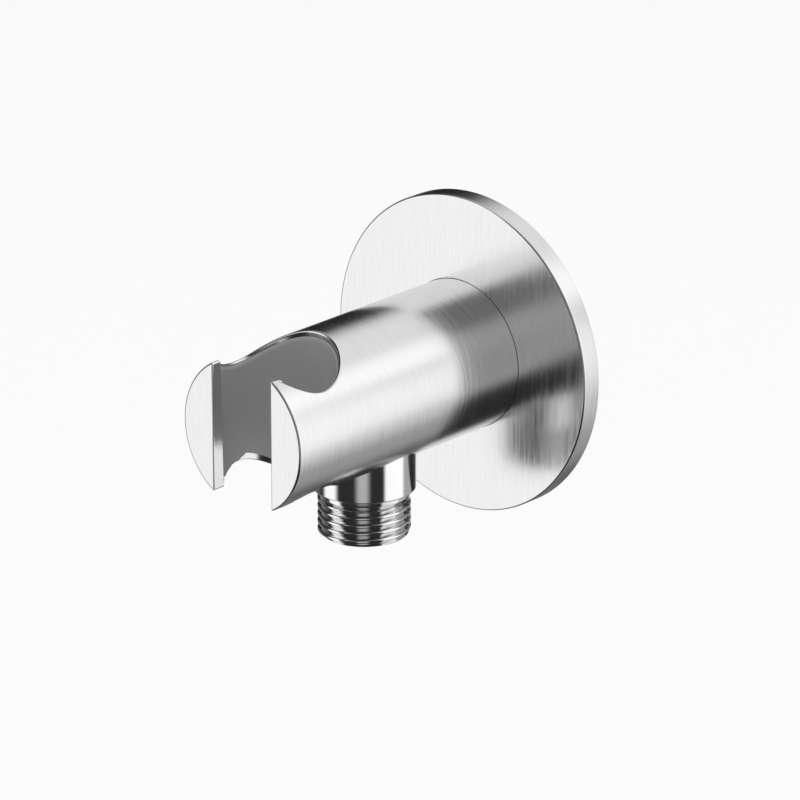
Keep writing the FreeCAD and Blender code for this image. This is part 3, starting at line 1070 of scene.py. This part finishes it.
@dataclass
class Arm:
    """The cast arm with its cradle, and the set screw that locks it on the nipple."""

    form: CradleForm
    radius: float = 17.49
    back_reach: float = 0.8
    back_ease: float = 0.3
    front_ease: float = 0.45
    seat_radius: float = 13.12
    lower_ease: float = 0.2
    socket_radius: float = 12.0
    socket_lead_in: float = 0.8
    socket_end: float = 22.3
    slope_end: float = 23.8
    waterway_radius: float = 6.0
    column_radius: float = 6.6
    column_top: float = 6.5
    column_ease: float = 2.5
    collar_hole: float = 11.75
    collar_seat: float = -11.01
    neck_hole: float = 9.55
    neck_top: float = -4.21
    screw_hole: float = 2.53
    screw_back: float = -11.0
    screw_end: float = -19.0
    screw_key: float = 2.5

    def cutters(self) -> list[bpy.types.Object]:
        """Everything that is cut out of the arm.

        Returns:
            The cutters, in order.
        """
        form = self.form
        pocket = FlaredBore(self.radius, self.seat_radius, 0.0, form.edge_ease, -5.0).make()
        seat = new_object("seat", rod(CRADLE_AXIS, self.seat_radius, -FAR, -2.0, 256))
        combine(seat, form.room(30.0, 0.05), Joining.KEEP)
        for room in (pocket, seat):
            combine(room, form.front_gap(form.return_half, 0.0), Joining.CUT)
        opening = FlaredBore(
            self.radius, form.bore_middle, form.bore_slope, form.edge_ease, -FAR,
            self.lower_ease).make()
        lead_in = self.socket_radius + self.socket_lead_in
        socket = new_object("socket", turned(ARM_AXIS, [
            Corner(0, -1.0), Corner(lead_in, -1.0),
            Corner(lead_in, self.back_reach),
            Corner(self.socket_radius, self.back_reach + self.socket_lead_in),
            Corner(self.socket_radius, self.socket_end),
            Corner(self.waterway_radius, self.slope_end),
            Corner(self.waterway_radius, -SPIGOT_AXIS.origin.y),
            Corner(0, -SPIGOT_AXIS.origin.y)]))
        column = new_object("column", turned(SPIGOT_AXIS, [
            Corner(0, -8.0), Corner(self.column_radius, -8.0),
            Corner(self.column_radius, self.column_top, self.column_ease),
            Corner(0, self.column_top)]))
        neck = new_object("neck hole", rod(SPIGOT_AXIS, self.neck_hole, -FAR, self.neck_top))
        collar = rod(SPIGOT_AXIS, self.collar_hole, -FAR - 1.0, self.collar_seat)
        collar = new_object("collar hole", collar)
        screw = new_object("screw hole", rod(SCREW_AXIS, self.screw_hole, -FAR, -10.0, 64))
        mouth = form.mouth(self.radius)
        return [pocket, seat, opening, mouth, socket, column, neck, collar, screw]

    def surfaces(self) -> list[RoundSurface]:
        """The round surfaces that the cuts leave."""
        return [
            RoundSurface(ARM_AXIS, self.radius),
            RoundSurface(CRADLE_AXIS, self.seat_radius),
            RoundSurface(CRADLE_AXIS, self.form.bore_middle, self.form.bore_slope),
            RoundSurface(ARM_AXIS, self.form.ledge_radius),
            RoundSurface(ARM_AXIS, self.socket_radius),
            RoundSurface(ARM_AXIS, self.waterway_radius),
            RoundSurface(SPIGOT_AXIS, self.collar_hole),
            RoundSurface(SPIGOT_AXIS, self.neck_hole),
            RoundSurface(SPIGOT_AXIS, self.column_radius),
            RoundSurface(SCREW_AXIS, self.screw_hole),
        ]

    def choose(self, centre: Vector, normal: Vector) -> Skin:
        """Which of the arm's finishes a face has.

        Args:
            centre: the face's centre.
            normal: its normal.

        Returns:
            The finish.
        """
        if math.hypot(centre.x, centre.z) > self.radius - 0.012 and abs(normal.y) < 0.2:
            return Skin.ROUND
        if normal.y < -0.9 and centre.y < -self.form.front_reach + 0.05:
            return Skin.FRONT
        return Skin.PLAIN

    def build_body(self, finishes: Finishes) -> None:
        """Cut the arm from a turned blank and dress it.

        Args:
            finishes: the object's finishes.
        """
        front = self.form.front_reach
        blank = turned(ARM_AXIS, [
            Corner(0, self.back_reach), Corner(self.radius, self.back_reach, self.back_ease),
            Corner(self.radius, front, self.front_ease), Corner(0, front)], 384)
        arm = new_object("arm_body.look", blank)
        for tool in self.cutters():
            combine(arm, tool, Joining.CUT)
        tidy_up(arm)
        for finish in finishes.skins():
            arm.data.materials.append(finish)
        assign(arm, self.choose)
        settle(arm, "arm_body", surfaces=self.surfaces())

    def build_screw(self, finishes: Finishes) -> bpy.types.Object:
        """Make the set screw, with its thread, its point and its socket.

        Args:
            finishes: the object's finishes.
        """
        steps = 64
        low = self.screw_end + 0.1
        high = self.screw_back - 1.3
        form = turned(SCREW_AXIS, [
            Corner(0, self.screw_end), Corner(1.95, self.screw_end, 0.1), Corner(2.05, low),
            Corner(1.9, high), Corner(1.3, self.screw_back, 0.15),
            Corner(0, self.screw_back)], steps, 2, open_after=2)
        thread = ScrewThread(0.8, 2.02, 2.5, low, high, 2.05, 1.9, high)
        thread.join(form, SCREW_AXIS, steps)
        screw = new_object("set_screw.look", form)
        socket = hexagon(
            SCREW_AXIS, self.screw_key, self.screw_end - 1.0, self.screw_end + 3.0,
            Vector((1, 0, 0)))
        combine(screw, new_object("socket", socket), Joining.CUT)
        tidy_up(screw)
        screw.data.materials.append(finishes.screw)
        settle(screw, "set_screw")

    def build(self, finishes: Finishes) -> None:
        """Build the arm and its screw."""
        self.build_body(finishes)
        self.build_screw(finishes)


@dataclass
class Liner:
    """The moulded plastic lining of the cradle."""

    form: CradleForm
    outer_radius: float = 13.05
    skin: float = 17.49
    tab_skin: float = 17.39
    end_ease: float = 0.3
    tab_ease: float = 2.2

    def round_ends(self, liner: bpy.types.Object) -> None:
        """Round the inner upright edges of the lining's two ends.

        Args:
            liner: the cut lining.
        """
        form = bmesh.new()
        form.from_mesh(liner.data)
        end = self.form.return_half + self.form.lining_gap
        middle = self.outer_radius - 0.2
        edges = []
        for edge in form.edges:
            run = edge.verts[0].co - edge.verts[1].co
            at_end = all(abs(abs(vert.co.x) - end) < 1e-3 for vert in edge.verts)
            inside = all(CRADLE_AXIS.spoke(vert.co).length < middle for vert in edge.verts)
            if at_end and inside and abs(run.z) > abs(run.y):
                edges.append(edge)
        bmesh.ops.bevel(
            form, geom=edges, offset=self.end_ease, segments=3, profile=0.5, affect="EDGES",
            material=-1)
        form.to_mesh(liner.data)
        form.free()

    def build(self, finishes: Finishes) -> None:
        """Cut the lining from an upright cylinder and dress it.

        Args:
            finishes: the object's finishes.
        """
        form = self.form
        blank = rod(CRADLE_AXIS, self.outer_radius, -FAR, FAR, 256)
        liner = new_object("cradle_liner.look", blank)
        room = form.room(self.tab_skin, 0.0)
        combine(room, new_object("above", block((-20, -90, 0), (20, -40, 20))), Joining.ADD)
        combine(liner, room, Joining.KEEP)
        bore = LiningBore(
            self.skin, form.bore_middle, form.bore_slope, 0.0, -FAR, rim_radius=self.outer_radius)
        combine(liner, bore.make(), Joining.CUT)
        end = form.return_half + form.lining_gap
        combine(liner, form.front_gap(end, self.tab_ease), Joining.CUT)
        tidy_up(liner)
        self.round_ends(liner)
        tidy_up(liner)
        liner.data.materials.append(finishes.liner)
        settle(liner, "cradle_liner", surfaces=[
            RoundSurface(CRADLE_AXIS, self.outer_radius),
            RoundSurface(CRADLE_AXIS, form.bore_middle, form.bore_slope),
            RoundSurface(ARM_AXIS, form.ledge_radius),
            RoundSurface(ARM_AXIS, self.tab_skin)])


@dataclass
class Cover:
    """The rosette against the wall, the rubber ring in its collar and the foam behind it."""

    radius: float = 37.07
    depth: float = 4.89
    face_wall: float = 1.6
    rim_wall: float = 1.7
    edge_ease: float = 0.45
    hole: float = 17.56
    collar: float = 20.81
    collar_back: float = 0.6
    groove_radius: float = 19.21
    groove_centre: float = 2.25
    groove_width: float = 2.0
    ring_centre: float = 18.30
    ring_section: float = 0.8
    gasket_outer: float = 35.22
    gasket_inner: float = 31.62

    def choose(self, centre: Vector, normal: Vector) -> Skin:
        """Which of the rosette's finishes a face has.

        Args:
            centre: the face's centre.
            normal: its normal.

        Returns:
            The finish.
        """
        if math.hypot(centre.x, centre.z) > self.radius - 0.02:
            return Skin.ROUND
        if normal.y < -0.9 and centre.y < -self.depth + 0.02:
            return Skin.FRONT
        return Skin.PLAIN

    def build_rosette(self, finishes: Finishes) -> None:
        """Turn the dished cover plate.

        Args:
            finishes: the object's finishes.
        """
        rim = self.radius - self.rim_wall
        plate = self.depth - self.face_wall
        low = self.groove_centre - self.groove_width / 2
        high = self.groove_centre + self.groove_width / 2
        form = turned(ARM_AXIS, [
            Corner(self.hole, self.depth, 0.06), Corner(self.radius, self.depth, self.edge_ease),
            Corner(self.radius, 0, 0.12), Corner(rim, 0, 0.12), Corner(rim, plate, 0.6),
            Corner(self.collar, plate, 0.6), Corner(self.collar, self.collar_back, 0.15),
            Corner(self.hole, self.collar_back, 0.15), Corner(self.hole, low),
            Corner(self.groove_radius, low), Corner(self.groove_radius, high),
            Corner(self.hole, high)], 256)
        rosette = new_object("rosette.look", form)
        for finish in finishes.skins():
            rosette.data.materials.append(finish)
        assign(rosette, self.choose)
        settle(rosette, "rosette")

    def build(self, finishes: Finishes) -> None:
        """Build the rosette, its ring and its gasket.

        Args:
            finishes: the object's finishes.
        """
        self.build_rosette(finishes)
        band = ring(ARM_AXIS, self.ring_centre, self.ring_section, self.groove_centre)
        dress(band, "rosette_ring", finishes.rubber)
        thick = self.depth - self.face_wall
        foam = turned(ARM_AXIS, [
            Corner(self.gasket_inner, 0, 0.3), Corner(self.gasket_outer, 0, 0.3),
            Corner(self.gasket_outer, thick, 0.6), Corner(self.gasket_inner, thick, 0.6)])
        dress(foam, "wall_gasket", finishes.foam)


@dataclass
class Outlet:
    """The turned outlet spigot with its hose thread, and the ring under its collar."""

    neck_radius: float = 9.5
    neck_top: float = -4.51
    bore: float = 4.98
    collar_top: float = -11.01
    collar_radius: float = 11.69
    collar_bottom: float = -22.45
    collar_ease: float = 0.4
    plain_radius: float = 10.35
    groove_top: float = -24.25
    groove_radius: float = 9.2
    thread_top: float = -24.85
    end: float = -33.71
    end_radius: float = 9.7775
    flange_seat: float = 8.45
    flange_top: float = -32.21
    cartridge_bore: float = 7.55
    cartridge_top: float = -13.51
    ring_groove_top: float = -9.11
    ring_groove_radius: float = 8.04
    ring_centre: float = 8.77
    ring_section: float = 0.72
    ring_level: float = -10.06
    key: float = 10.0

    def build(self, finishes: Finishes) -> None:
        """Turn the spigot, cut its hexagon and add its ring.

        Args:
            finishes: the object's finishes.
        """
        steps = 192
        plain_top = self.collar_bottom - self.collar_ease
        corners = [
            Corner(self.bore, self.neck_top, 0.15), Corner(self.neck_radius, self.neck_top, 0.5),
            Corner(self.neck_radius, self.ring_groove_top, 0.1),
            Corner(self.ring_groove_radius, self.ring_groove_top),
            Corner(self.ring_groove_radius, self.collar_top),
            Corner(self.collar_radius, self.collar_top, 0.15),
            Corner(self.collar_radius, plain_top, self.collar_ease),
            Corner(self.plain_radius, plain_top),
            Corner(self.plain_radius, self.groove_top, 0.12),
            Corner(self.groove_radius, self.groove_top - 0.2),
            Corner(self.groove_radius, self.thread_top),
            Corner(PIPE_END_FACE, self.end),
            Corner(self.flange_seat, self.end, 0.1), Corner(self.flange_seat, self.flange_top),
            Corner(self.cartridge_bore, self.flange_top),
            Corner(self.cartridge_bore, self.cartridge_top), Corner(self.bore, self.cartridge_top)]
        form = turned(SPIGOT_AXIS, corners, steps, open_after=10)
        thread = ScrewThread(
            PIPE_PITCH, PIPE_ROOT, PIPE_CREST, self.end, self.thread_top, self.end_radius,
            self.groove_radius, self.thread_top - PIPE_PITCH / 2, end_lead=5.0)
        thread.join(form, SPIGOT_AXIS, steps)
        spigot = new_object("outlet_spigot.look", form)
        key = hexagon(
            SPIGOT_AXIS, self.key, self.neck_top - 7.0, self.neck_top + 2.0, Vector((1, 0, 0)))
        combine(spigot, new_object("key", key), Joining.CUT)
        tidy_up(spigot)
        spigot.data.materials.append(finishes.polished)
        settle(spigot, "outlet_spigot")
        seal = ring(SPIGOT_AXIS, self.ring_centre, self.ring_section, self.ring_level)
        dress(seal, "spigot_ring", finishes.rubber)


@dataclass
class Inlet:
    """The brass nipple that screws into the wall, and the two rings on its nose."""

    bore: float = 5.98
    nose_radius: float = 11.95
    nose_end: float = 21.8
    nose_ease: float = 0.8
    shoulder: float = 3.6
    relief_radius: float = 9.2
    relief_end: float = 2.2
    end: float = -14.0
    end_radius: float = 9.4775
    ring_reaches: tuple[float, float] = (18.4, 14.2)
    ring_groove: float = 10.18
    ring_groove_width: float = 2.3
    ring_centre: float = 11.09
    ring_section: float = 0.9
    screw_reach: float = 7.6
    screw_groove: float = 10.9
    screw_groove_width: float = 5.4
    key: float = 12.0

    def build_nipple(self, finishes: Finishes) -> None:
        """Turn the nipple and cut its hexagon.

        Args:
            finishes: the object's finishes.
        """
        steps = 192
        corners = [
            Corner(self.bore, self.nose_end, 0.2),
            Corner(self.nose_radius, self.nose_end, self.nose_ease)]
        grooves = [(reach, self.ring_groove_width, self.ring_groove) for reach in self.ring_reaches]
        grooves.append((self.screw_reach, self.screw_groove_width, self.screw_groove))
        for reach, width, radius in grooves:
            front = reach + width / 2
            back = reach - width / 2
            corners += [
                Corner(self.nose_radius, front, 0.1), Corner(radius, front, 0.15),
                Corner(radius, back, 0.15), Corner(self.nose_radius, back, 0.1)]
        corners += [
            Corner(self.nose_radius, self.shoulder, 0.3),
            Corner(self.relief_radius, self.shoulder, 0.3),
            Corner(self.relief_radius, self.relief_end),
            Corner(PIPE_END_FACE, self.end), Corner(self.bore, self.end, 0.3)]
        form = turned(ARM_AXIS, corners, steps, open_after=len(corners) - 3)
        thread = ScrewThread(
            PIPE_PITCH, PIPE_ROOT, PIPE_CREST, self.end, self.relief_end, self.end_radius,
            self.relief_radius, self.relief_end)
        thread.join(form, ARM_AXIS, steps)
        nipple = new_object("wall_nipple.look", form)
        key = hexagon(
            ARM_AXIS, self.key, self.nose_end - 10.0, self.nose_end + 2.0, Vector((0, 0, 1)))
        combine(nipple, new_object("key", key), Joining.CUT)
        tidy_up(nipple)
        nipple.data.materials.append(finishes.brass)
        settle(nipple, "wall_nipple")

    def build(self, finishes: Finishes) -> None:
        """Build the nipple and its two rings.

        Args:
            finishes: the object's finishes.
        """
        self.build_nipple(finishes)
        form = ring(ARM_AXIS, self.ring_centre, self.ring_section, self.ring_reaches[0])
        made = bmesh.ops.duplicate(form, geom=form.verts[:] + form.edges[:] + form.faces[:])
        twin = [item for item in made["geom"] if isinstance(item, bmesh.types.BMVert)]
        gap = self.ring_reaches[0] - self.ring_reaches[1]
        bmesh.ops.translate(form, verts=twin, vec=(0, gap, 0))
        dress(form, "nipple_rings", finishes.rubber)


@dataclass
class Valve:
    """The non-return valve's cartridge, its ring, the poppet with its washer, and the spring."""

    top: float = -13.61
    seat_bottom: float = -18.81
    outer: float = 7.5
    seat_bore: float = 4.6
    seat_face: float = 5.2
    seat_depth: float = 0.8
    flare: float = 0.6
    ring_level: float = -15.51
    ring_groove: float = 6.33
    ring_groove_width: float = 1.6
    ring_centre: float = 6.94
    ring_section: float = 0.6
    guide_inner: float = 6.8
    flange_radius: float = 8.4
    flange_top: float = -32.21
    flange_bottom: float = -33.41
    rib_bottom: float = -32.41
    rib_top: float = -29.81
    rib_half: float = 0.6
    hub_radius: float = 2.2
    hub_top: float = -26.81
    hub_bore: float = 1.3
    poppet_top: float = -18.83
    washer_bottom: float = -19.63
    head_bottom: float = -21.13
    stem_bottom: float = -30.71
    stem_radius: float = 1.25
    head_radius: float = 5.0
    washer_outer: float = 5.9
    washer_neck: float = 3.1
    cap_height: float = 1.4
    spring_radius: float = 3.1
    wire: float = 0.2
    travel: float = 2.5

    def build_seat(self, finishes: Finishes) -> None:
        """Turn the cartridge's upper half.

        Args:
            finishes: the object's finishes.
        """
        high = self.ring_level + self.ring_groove_width / 2
        low = self.ring_level - self.ring_groove_width / 2
        seat = turned(SPIGOT_AXIS, [
            Corner(self.seat_bore + self.flare, self.top), Corner(self.outer, self.top, 0.4),
            Corner(self.outer, high, 0.1), Corner(self.ring_groove, high),
            Corner(self.ring_groove, low),
            Corner(self.outer, low, 0.1), Corner(self.outer, self.seat_bottom, 0.1),
            Corner(self.seat_face, self.seat_bottom, 0.1),
            Corner(self.seat_bore, self.seat_bottom + self.seat_depth, 0.1),
            Corner(self.seat_bore, self.top - self.flare)], 128)
        dress(seat, "valve_seat", finishes.acetal)

    def rib(self, index: int) -> bmesh.types.BMesh:
        """One of the guide's three ribs.

        Args:
            index: which of them.

        Returns:
            The rib, with its long edges rounded.
        """
        rib = block(
            (0, -self.rib_half, self.rib_bottom),
            (self.guide_inner + 0.3, self.rib_half, self.rib_top))
        runs = [(edge, edge.verts[0].co - edge.verts[1].co) for edge in rib.edges]
        edges = [edge for edge, run in runs if abs(run.z) < 1e-6 and abs(run.y) < 1e-6]
        bmesh.ops.bevel(
            rib, geom=edges, offset=0.15, segments=2, profile=0.5, affect="EDGES", material=-1)
        turn = Matrix.Rotation(math.radians(90 + 120 * index), 4, "Z")
        place = Matrix.Translation(SPIGOT_AXIS.origin) @ turn
        bmesh.ops.transform(rib, matrix=place, verts=rib.verts)
        return rib

    def build_guide(self, finishes: Finishes) -> None:
        """Turn the cartridge's lower half, and add its hub and ribs.

        Args:
            finishes: the object's finishes.
        """
        guide = new_object("valve_guide.look", turned(SPIGOT_AXIS, [
            Corner(self.guide_inner, self.seat_bottom), Corner(self.outer, self.seat_bottom, 0.1),
            Corner(self.outer, self.flange_top), Corner(self.flange_radius, self.flange_top, 0.15),
            Corner(self.flange_radius, self.flange_bottom, 0.15),
            Corner(self.guide_inner, self.flange_bottom, 0.3)], 128))
        hub = new_object("hub", turned(SPIGOT_AXIS, [
            Corner(0, self.rib_bottom), Corner(self.hub_radius, self.rib_bottom, 0.2),
            Corner(self.hub_radius, self.hub_top, 0.2), Corner(0, self.hub_top)], 96))
        for index in range(3):
            combine(hub, new_object("rib", self.rib(index)), Joining.ADD)
        combine(guide, hub, Joining.ADD)
        bore = rod(SPIGOT_AXIS, self.hub_bore, self.rib_bottom - 2, self.hub_top + 2, 64)
        combine(guide, new_object("bore", bore), Joining.CUT)
        tidy_up(guide)
        guide.data.materials.append(finishes.acetal)
        settle(guide, "valve_guide")

    def build_poppet(self, finishes: Finishes) -> None:
        """Turn the poppet and its washer, which slide together.

        Args:
            finishes: the object's finishes.
        """
        cap = self.poppet_top + self.cap_height
        poppet = turned(SPIGOT_AXIS, [
            Corner(0, self.stem_bottom), Corner(self.stem_radius, self.stem_bottom, 0.3),
            Corner(self.stem_radius, self.head_bottom, 0.3),
            Corner(self.head_radius, self.head_bottom, 0.4),
            Corner(self.head_radius, self.washer_bottom, 0.1),
            Corner(self.washer_neck, self.washer_bottom),
            Corner(self.washer_neck, self.poppet_top), Corner(4.0, self.poppet_top, 0.1),
            Corner(3.7, self.poppet_top + 0.5, 0.2), Corner(1.2, cap, 0.6), Corner(0, cap)], 128)
        dress(poppet, "valve_poppet", finishes.acetal, Body.POPPET)
        inner = self.washer_neck + 0.01
        washer = turned(SPIGOT_AXIS, [
            Corner(inner, self.poppet_top), Corner(self.washer_outer, self.poppet_top, 0.12),
            Corner(self.washer_outer, self.washer_bottom, 0.12),
            Corner(inner, self.washer_bottom)], 128)
        dress(washer, "poppet_seal", finishes.rubber, Body.POPPET)

    def build_spring(self, finishes: Finishes) -> None:
        """Wind the spring: a closed coil, four open ones and a closed coil.

        Args:
            finishes: the object's finishes.
        """
        form = bmesh.new()
        bottom = self.rib_top + self.wire
        place = SPIGOT_AXIS.section_place(self.spring_radius, bottom)
        bmesh.ops.create_circle(form, segments=10, radius=self.wire, matrix=place)
        closed = 2.1 * self.wire
        height = self.head_bottom - self.wire - bottom - 2 * closed
        geometry = form.verts[:] + form.edges[:]
        steps = 48
        for turns, rise in ((1, closed), (4, height), (1, closed)):
            count = turns * steps
            grown = bmesh.ops.spin(
                form, geom=geometry, cent=SPIGOT_AXIS.origin, axis=SPIGOT_AXIS.along,
                dvec=SPIGOT_AXIS.along * (rise / count), angle=FULL_TURN * turns, steps=count)
            geometry = grown["geom_last"]
        bmesh.ops.holes_fill(form, edges=[edge for edge in form.edges if edge.is_boundary])
        bmesh.ops.recalc_face_normals(form, faces=form.faces)
        spring = dress(form, "valve_spring", finishes.spring)
        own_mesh(spring)

    def build(self, finishes: Finishes) -> None:
        """Build the valve.

        Args:
            finishes: the object's finishes.
        """
        self.build_seat(finishes)
        self.build_guide(finishes)
        seal = ring(SPIGOT_AXIS, self.ring_centre, self.ring_section, self.ring_level)
        dress(seal, "valve_ring", finishes.rubber)
        self.build_poppet(finishes)
        self.build_spring(finishes)


@dataclass(frozen=True)
class Panel:
    """A soft panel of light or dark round the object, in degrees as seen from it."""

    azimuth: float
    half_width: float
    low: float
    high: float
    level: float
    side_blur: float = 12.0
    end_blur: float = 12.0

    def over(
        self, shader: Shader, azimuth: object, elevation: object, below: object,
    ) -> bpy.types.NodeSocket:
        """Lay the panel over what is behind it.

        Args:
            shader: the writer of the world's tree.
            azimuth: the direction's azimuth.
            elevation: the direction's elevation.
            below: the level behind the panel.

        Returns:
            The level with the panel in front.
        """
        turned_to = shader.math("SUBTRACT", azimuth, self.azimuth)
        wrapped = shader.add("Math", {0: turned_to, 1: 180.0, 2: -180.0}, operation="WRAP").outputs[0]
        aside = shader.math("ABSOLUTE", wrapped)
        side = self.side_blur / 2
        end = self.end_blur / 2
        share = shader.ramp(aside, self.half_width - side, self.half_width + side, 1.0, 0.0)
        rise = shader.ramp(elevation, self.low - end, self.low + end)
        fall = shader.ramp(elevation, self.high - end, self.high + end, 1.0, 0.0)
        share = shader.math("MULTIPLY", share, shader.math("MULTIPLY", rise, fall))
        mix = shader.add("Mix", {0: share, 2: below, 3: self.level})
        return mix.outputs[0]


@dataclass
class Studio:
    """A pale floor, a soft surround, one overhead lamp and the photo's camera."""

    floor_level: float = -0.5
    floor_colour: float = 0.97
    lamp_height: float = 5.0
    lamp_size: float = 12.0
    lamp_power: float = 315.0
    camera_place: tuple[float, float, float] = (0.80782, -0.91464, 0.44711)
    camera_target: tuple[float, float, float] = (-0.009648, -0.014424, -0.011125)
    lens: float = 257.94
    plain: float = 0.60
    dim: float = 0.03

    def panels(self) -> list[Panel]:
        """The panels that the metal reflects, from the back one to the front one."""
        return [
            Panel(150.0, 38.0, -95.0, 15.0, 0.24, 50.0, 20.0),
            Panel(64.0, 30.0, -95.0, 14.0, 0.38, 44.0, 20.0),
            Panel(137.0, 22.0, -10.0, 26.0, 0.012, 10.0, 10.0),
            Panel(92.0, 62.0, 32.0, 95.0, 0.95, 30.0, 22.0),
            Panel(52.0, 26.0, -36.0, -24.0, 0.62, 40.0, 14.0),
            Panel(24.0, 25.0, -31.0, 60.0, 1.3, 10.0, 28.0),
            Panel(46.0, 24.0, 20.0, 46.0, 1.3, 20.0, 16.0),
            Panel(282.0, 40.0, 22.0, 95.0, 0.22, 30.0, 20.0),
            Panel(231.0, 17.0, -50.0, 60.0, 1.2, 14.0, 14.0),
            Panel(309.0, 13.0, -26.0, 40.0, 0.55, 16.0, 12.0),
        ]

    def build_world(self) -> None:
        """Make the surround: white to the camera, panels to the metal, plain as light."""
        world = bpy.data.worlds.new("studio surround")
        world.use_nodes = True
        bpy.context.scene.world = world
        shader = Shader(world.node_tree)
        direction = shader.add("TexCoord").outputs["Generated"]
        parts = shader.add("SeparateXYZ", {0: direction}).outputs
        azimuth = shader.math("DEGREES", shader.math("ARCTAN2", parts[1], parts[0]))
        elevation = shader.math("DEGREES", shader.math("ARCSINE", parts[2]))
        level = self.dim
        for panel in self.panels():
            level = panel.over(shader, azimuth, elevation, level)
        ray = shader.add("LightPath").outputs
        level = shader.add("Mix", {0: ray["Is Glossy Ray"], 2: self.plain, 3: level}).outputs[0]
        seen = shader.math("MAXIMUM", ray["Is Camera Ray"], ray["Is Transmission Ray"])
        level = shader.add("Mix", {0: seen, 2: level, 3: 1.0}).outputs[0]
        background = shader.add("Background", {"Color": level, "Strength": 1.0})
        shader.add("OutputWorld", {"Surface": background.outputs[0]})

    def build_floor(self) -> None:
        """Lay the floor, which the metal's reflections look past."""
        form = bmesh.new()
        place = Matrix.Translation((0, 0, self.floor_level))
        bmesh.ops.create_grid(form, x_segments=1, y_segments=1, size=12.0, matrix=place)
        floor = new_object("floor", form)
        material, shader = new_material("white floor")
        shader.finish(Base_Color=grey(self.floor_colour), Roughness=0.9)
        floor.data.materials.append(material)
        floor.visible_glossy = False

    def build_lamp(self) -> None:
        """Hang the overhead lamp."""
        data = bpy.data.lights.new("overhead", "AREA")
        data.shape = "SQUARE"
        data.size = self.lamp_size
        data.energy = self.lamp_power
        lamp = bpy.data.objects.new("overhead", data)
        lamp.location = (0, 0, self.lamp_height)
        lamp.visible_glossy = False
        bpy.context.scene.collection.objects.link(lamp)

    def build_camera(self) -> None:
        """Set the camera as the photo was taken."""
        data = bpy.data.cameras.new("photo camera")
        data.lens = self.lens
        data.sensor_width = 36.0
        data.clip_start = 0.05
        data.clip_end = 60.0
        camera = bpy.data.objects.new("photo camera", data)
        camera.location = self.camera_place
        look = Vector(self.camera_target) - Vector(self.camera_place)
        camera.rotation_mode = "QUATERNION"
        camera.rotation_quaternion = look.to_track_quat("-Z", "Y")
        bpy.context.scene.collection.objects.link(camera)
        bpy.context.scene.camera = camera

    def build(self) -> None:
        """Set up the studio."""
        bpy.context.scene.view_settings.view_transform = "Standard"
        self.build_world()
        self.build_floor()
        self.build_lamp()
        self.build_camera()


def main() -> None:
    """Build every piece in order, then the studio."""
    logging.basicConfig(level=logging.INFO, format="%(name)s: %(message)s")
    finishes = Finishes()
    form = CradleForm()
    for assembly in (Cover(), Arm(form), Liner(form), Outlet(), Inlet(), Valve()):
        assembly.build(finishes)
    Studio().build()


if __name__ == "__main__":
    main()
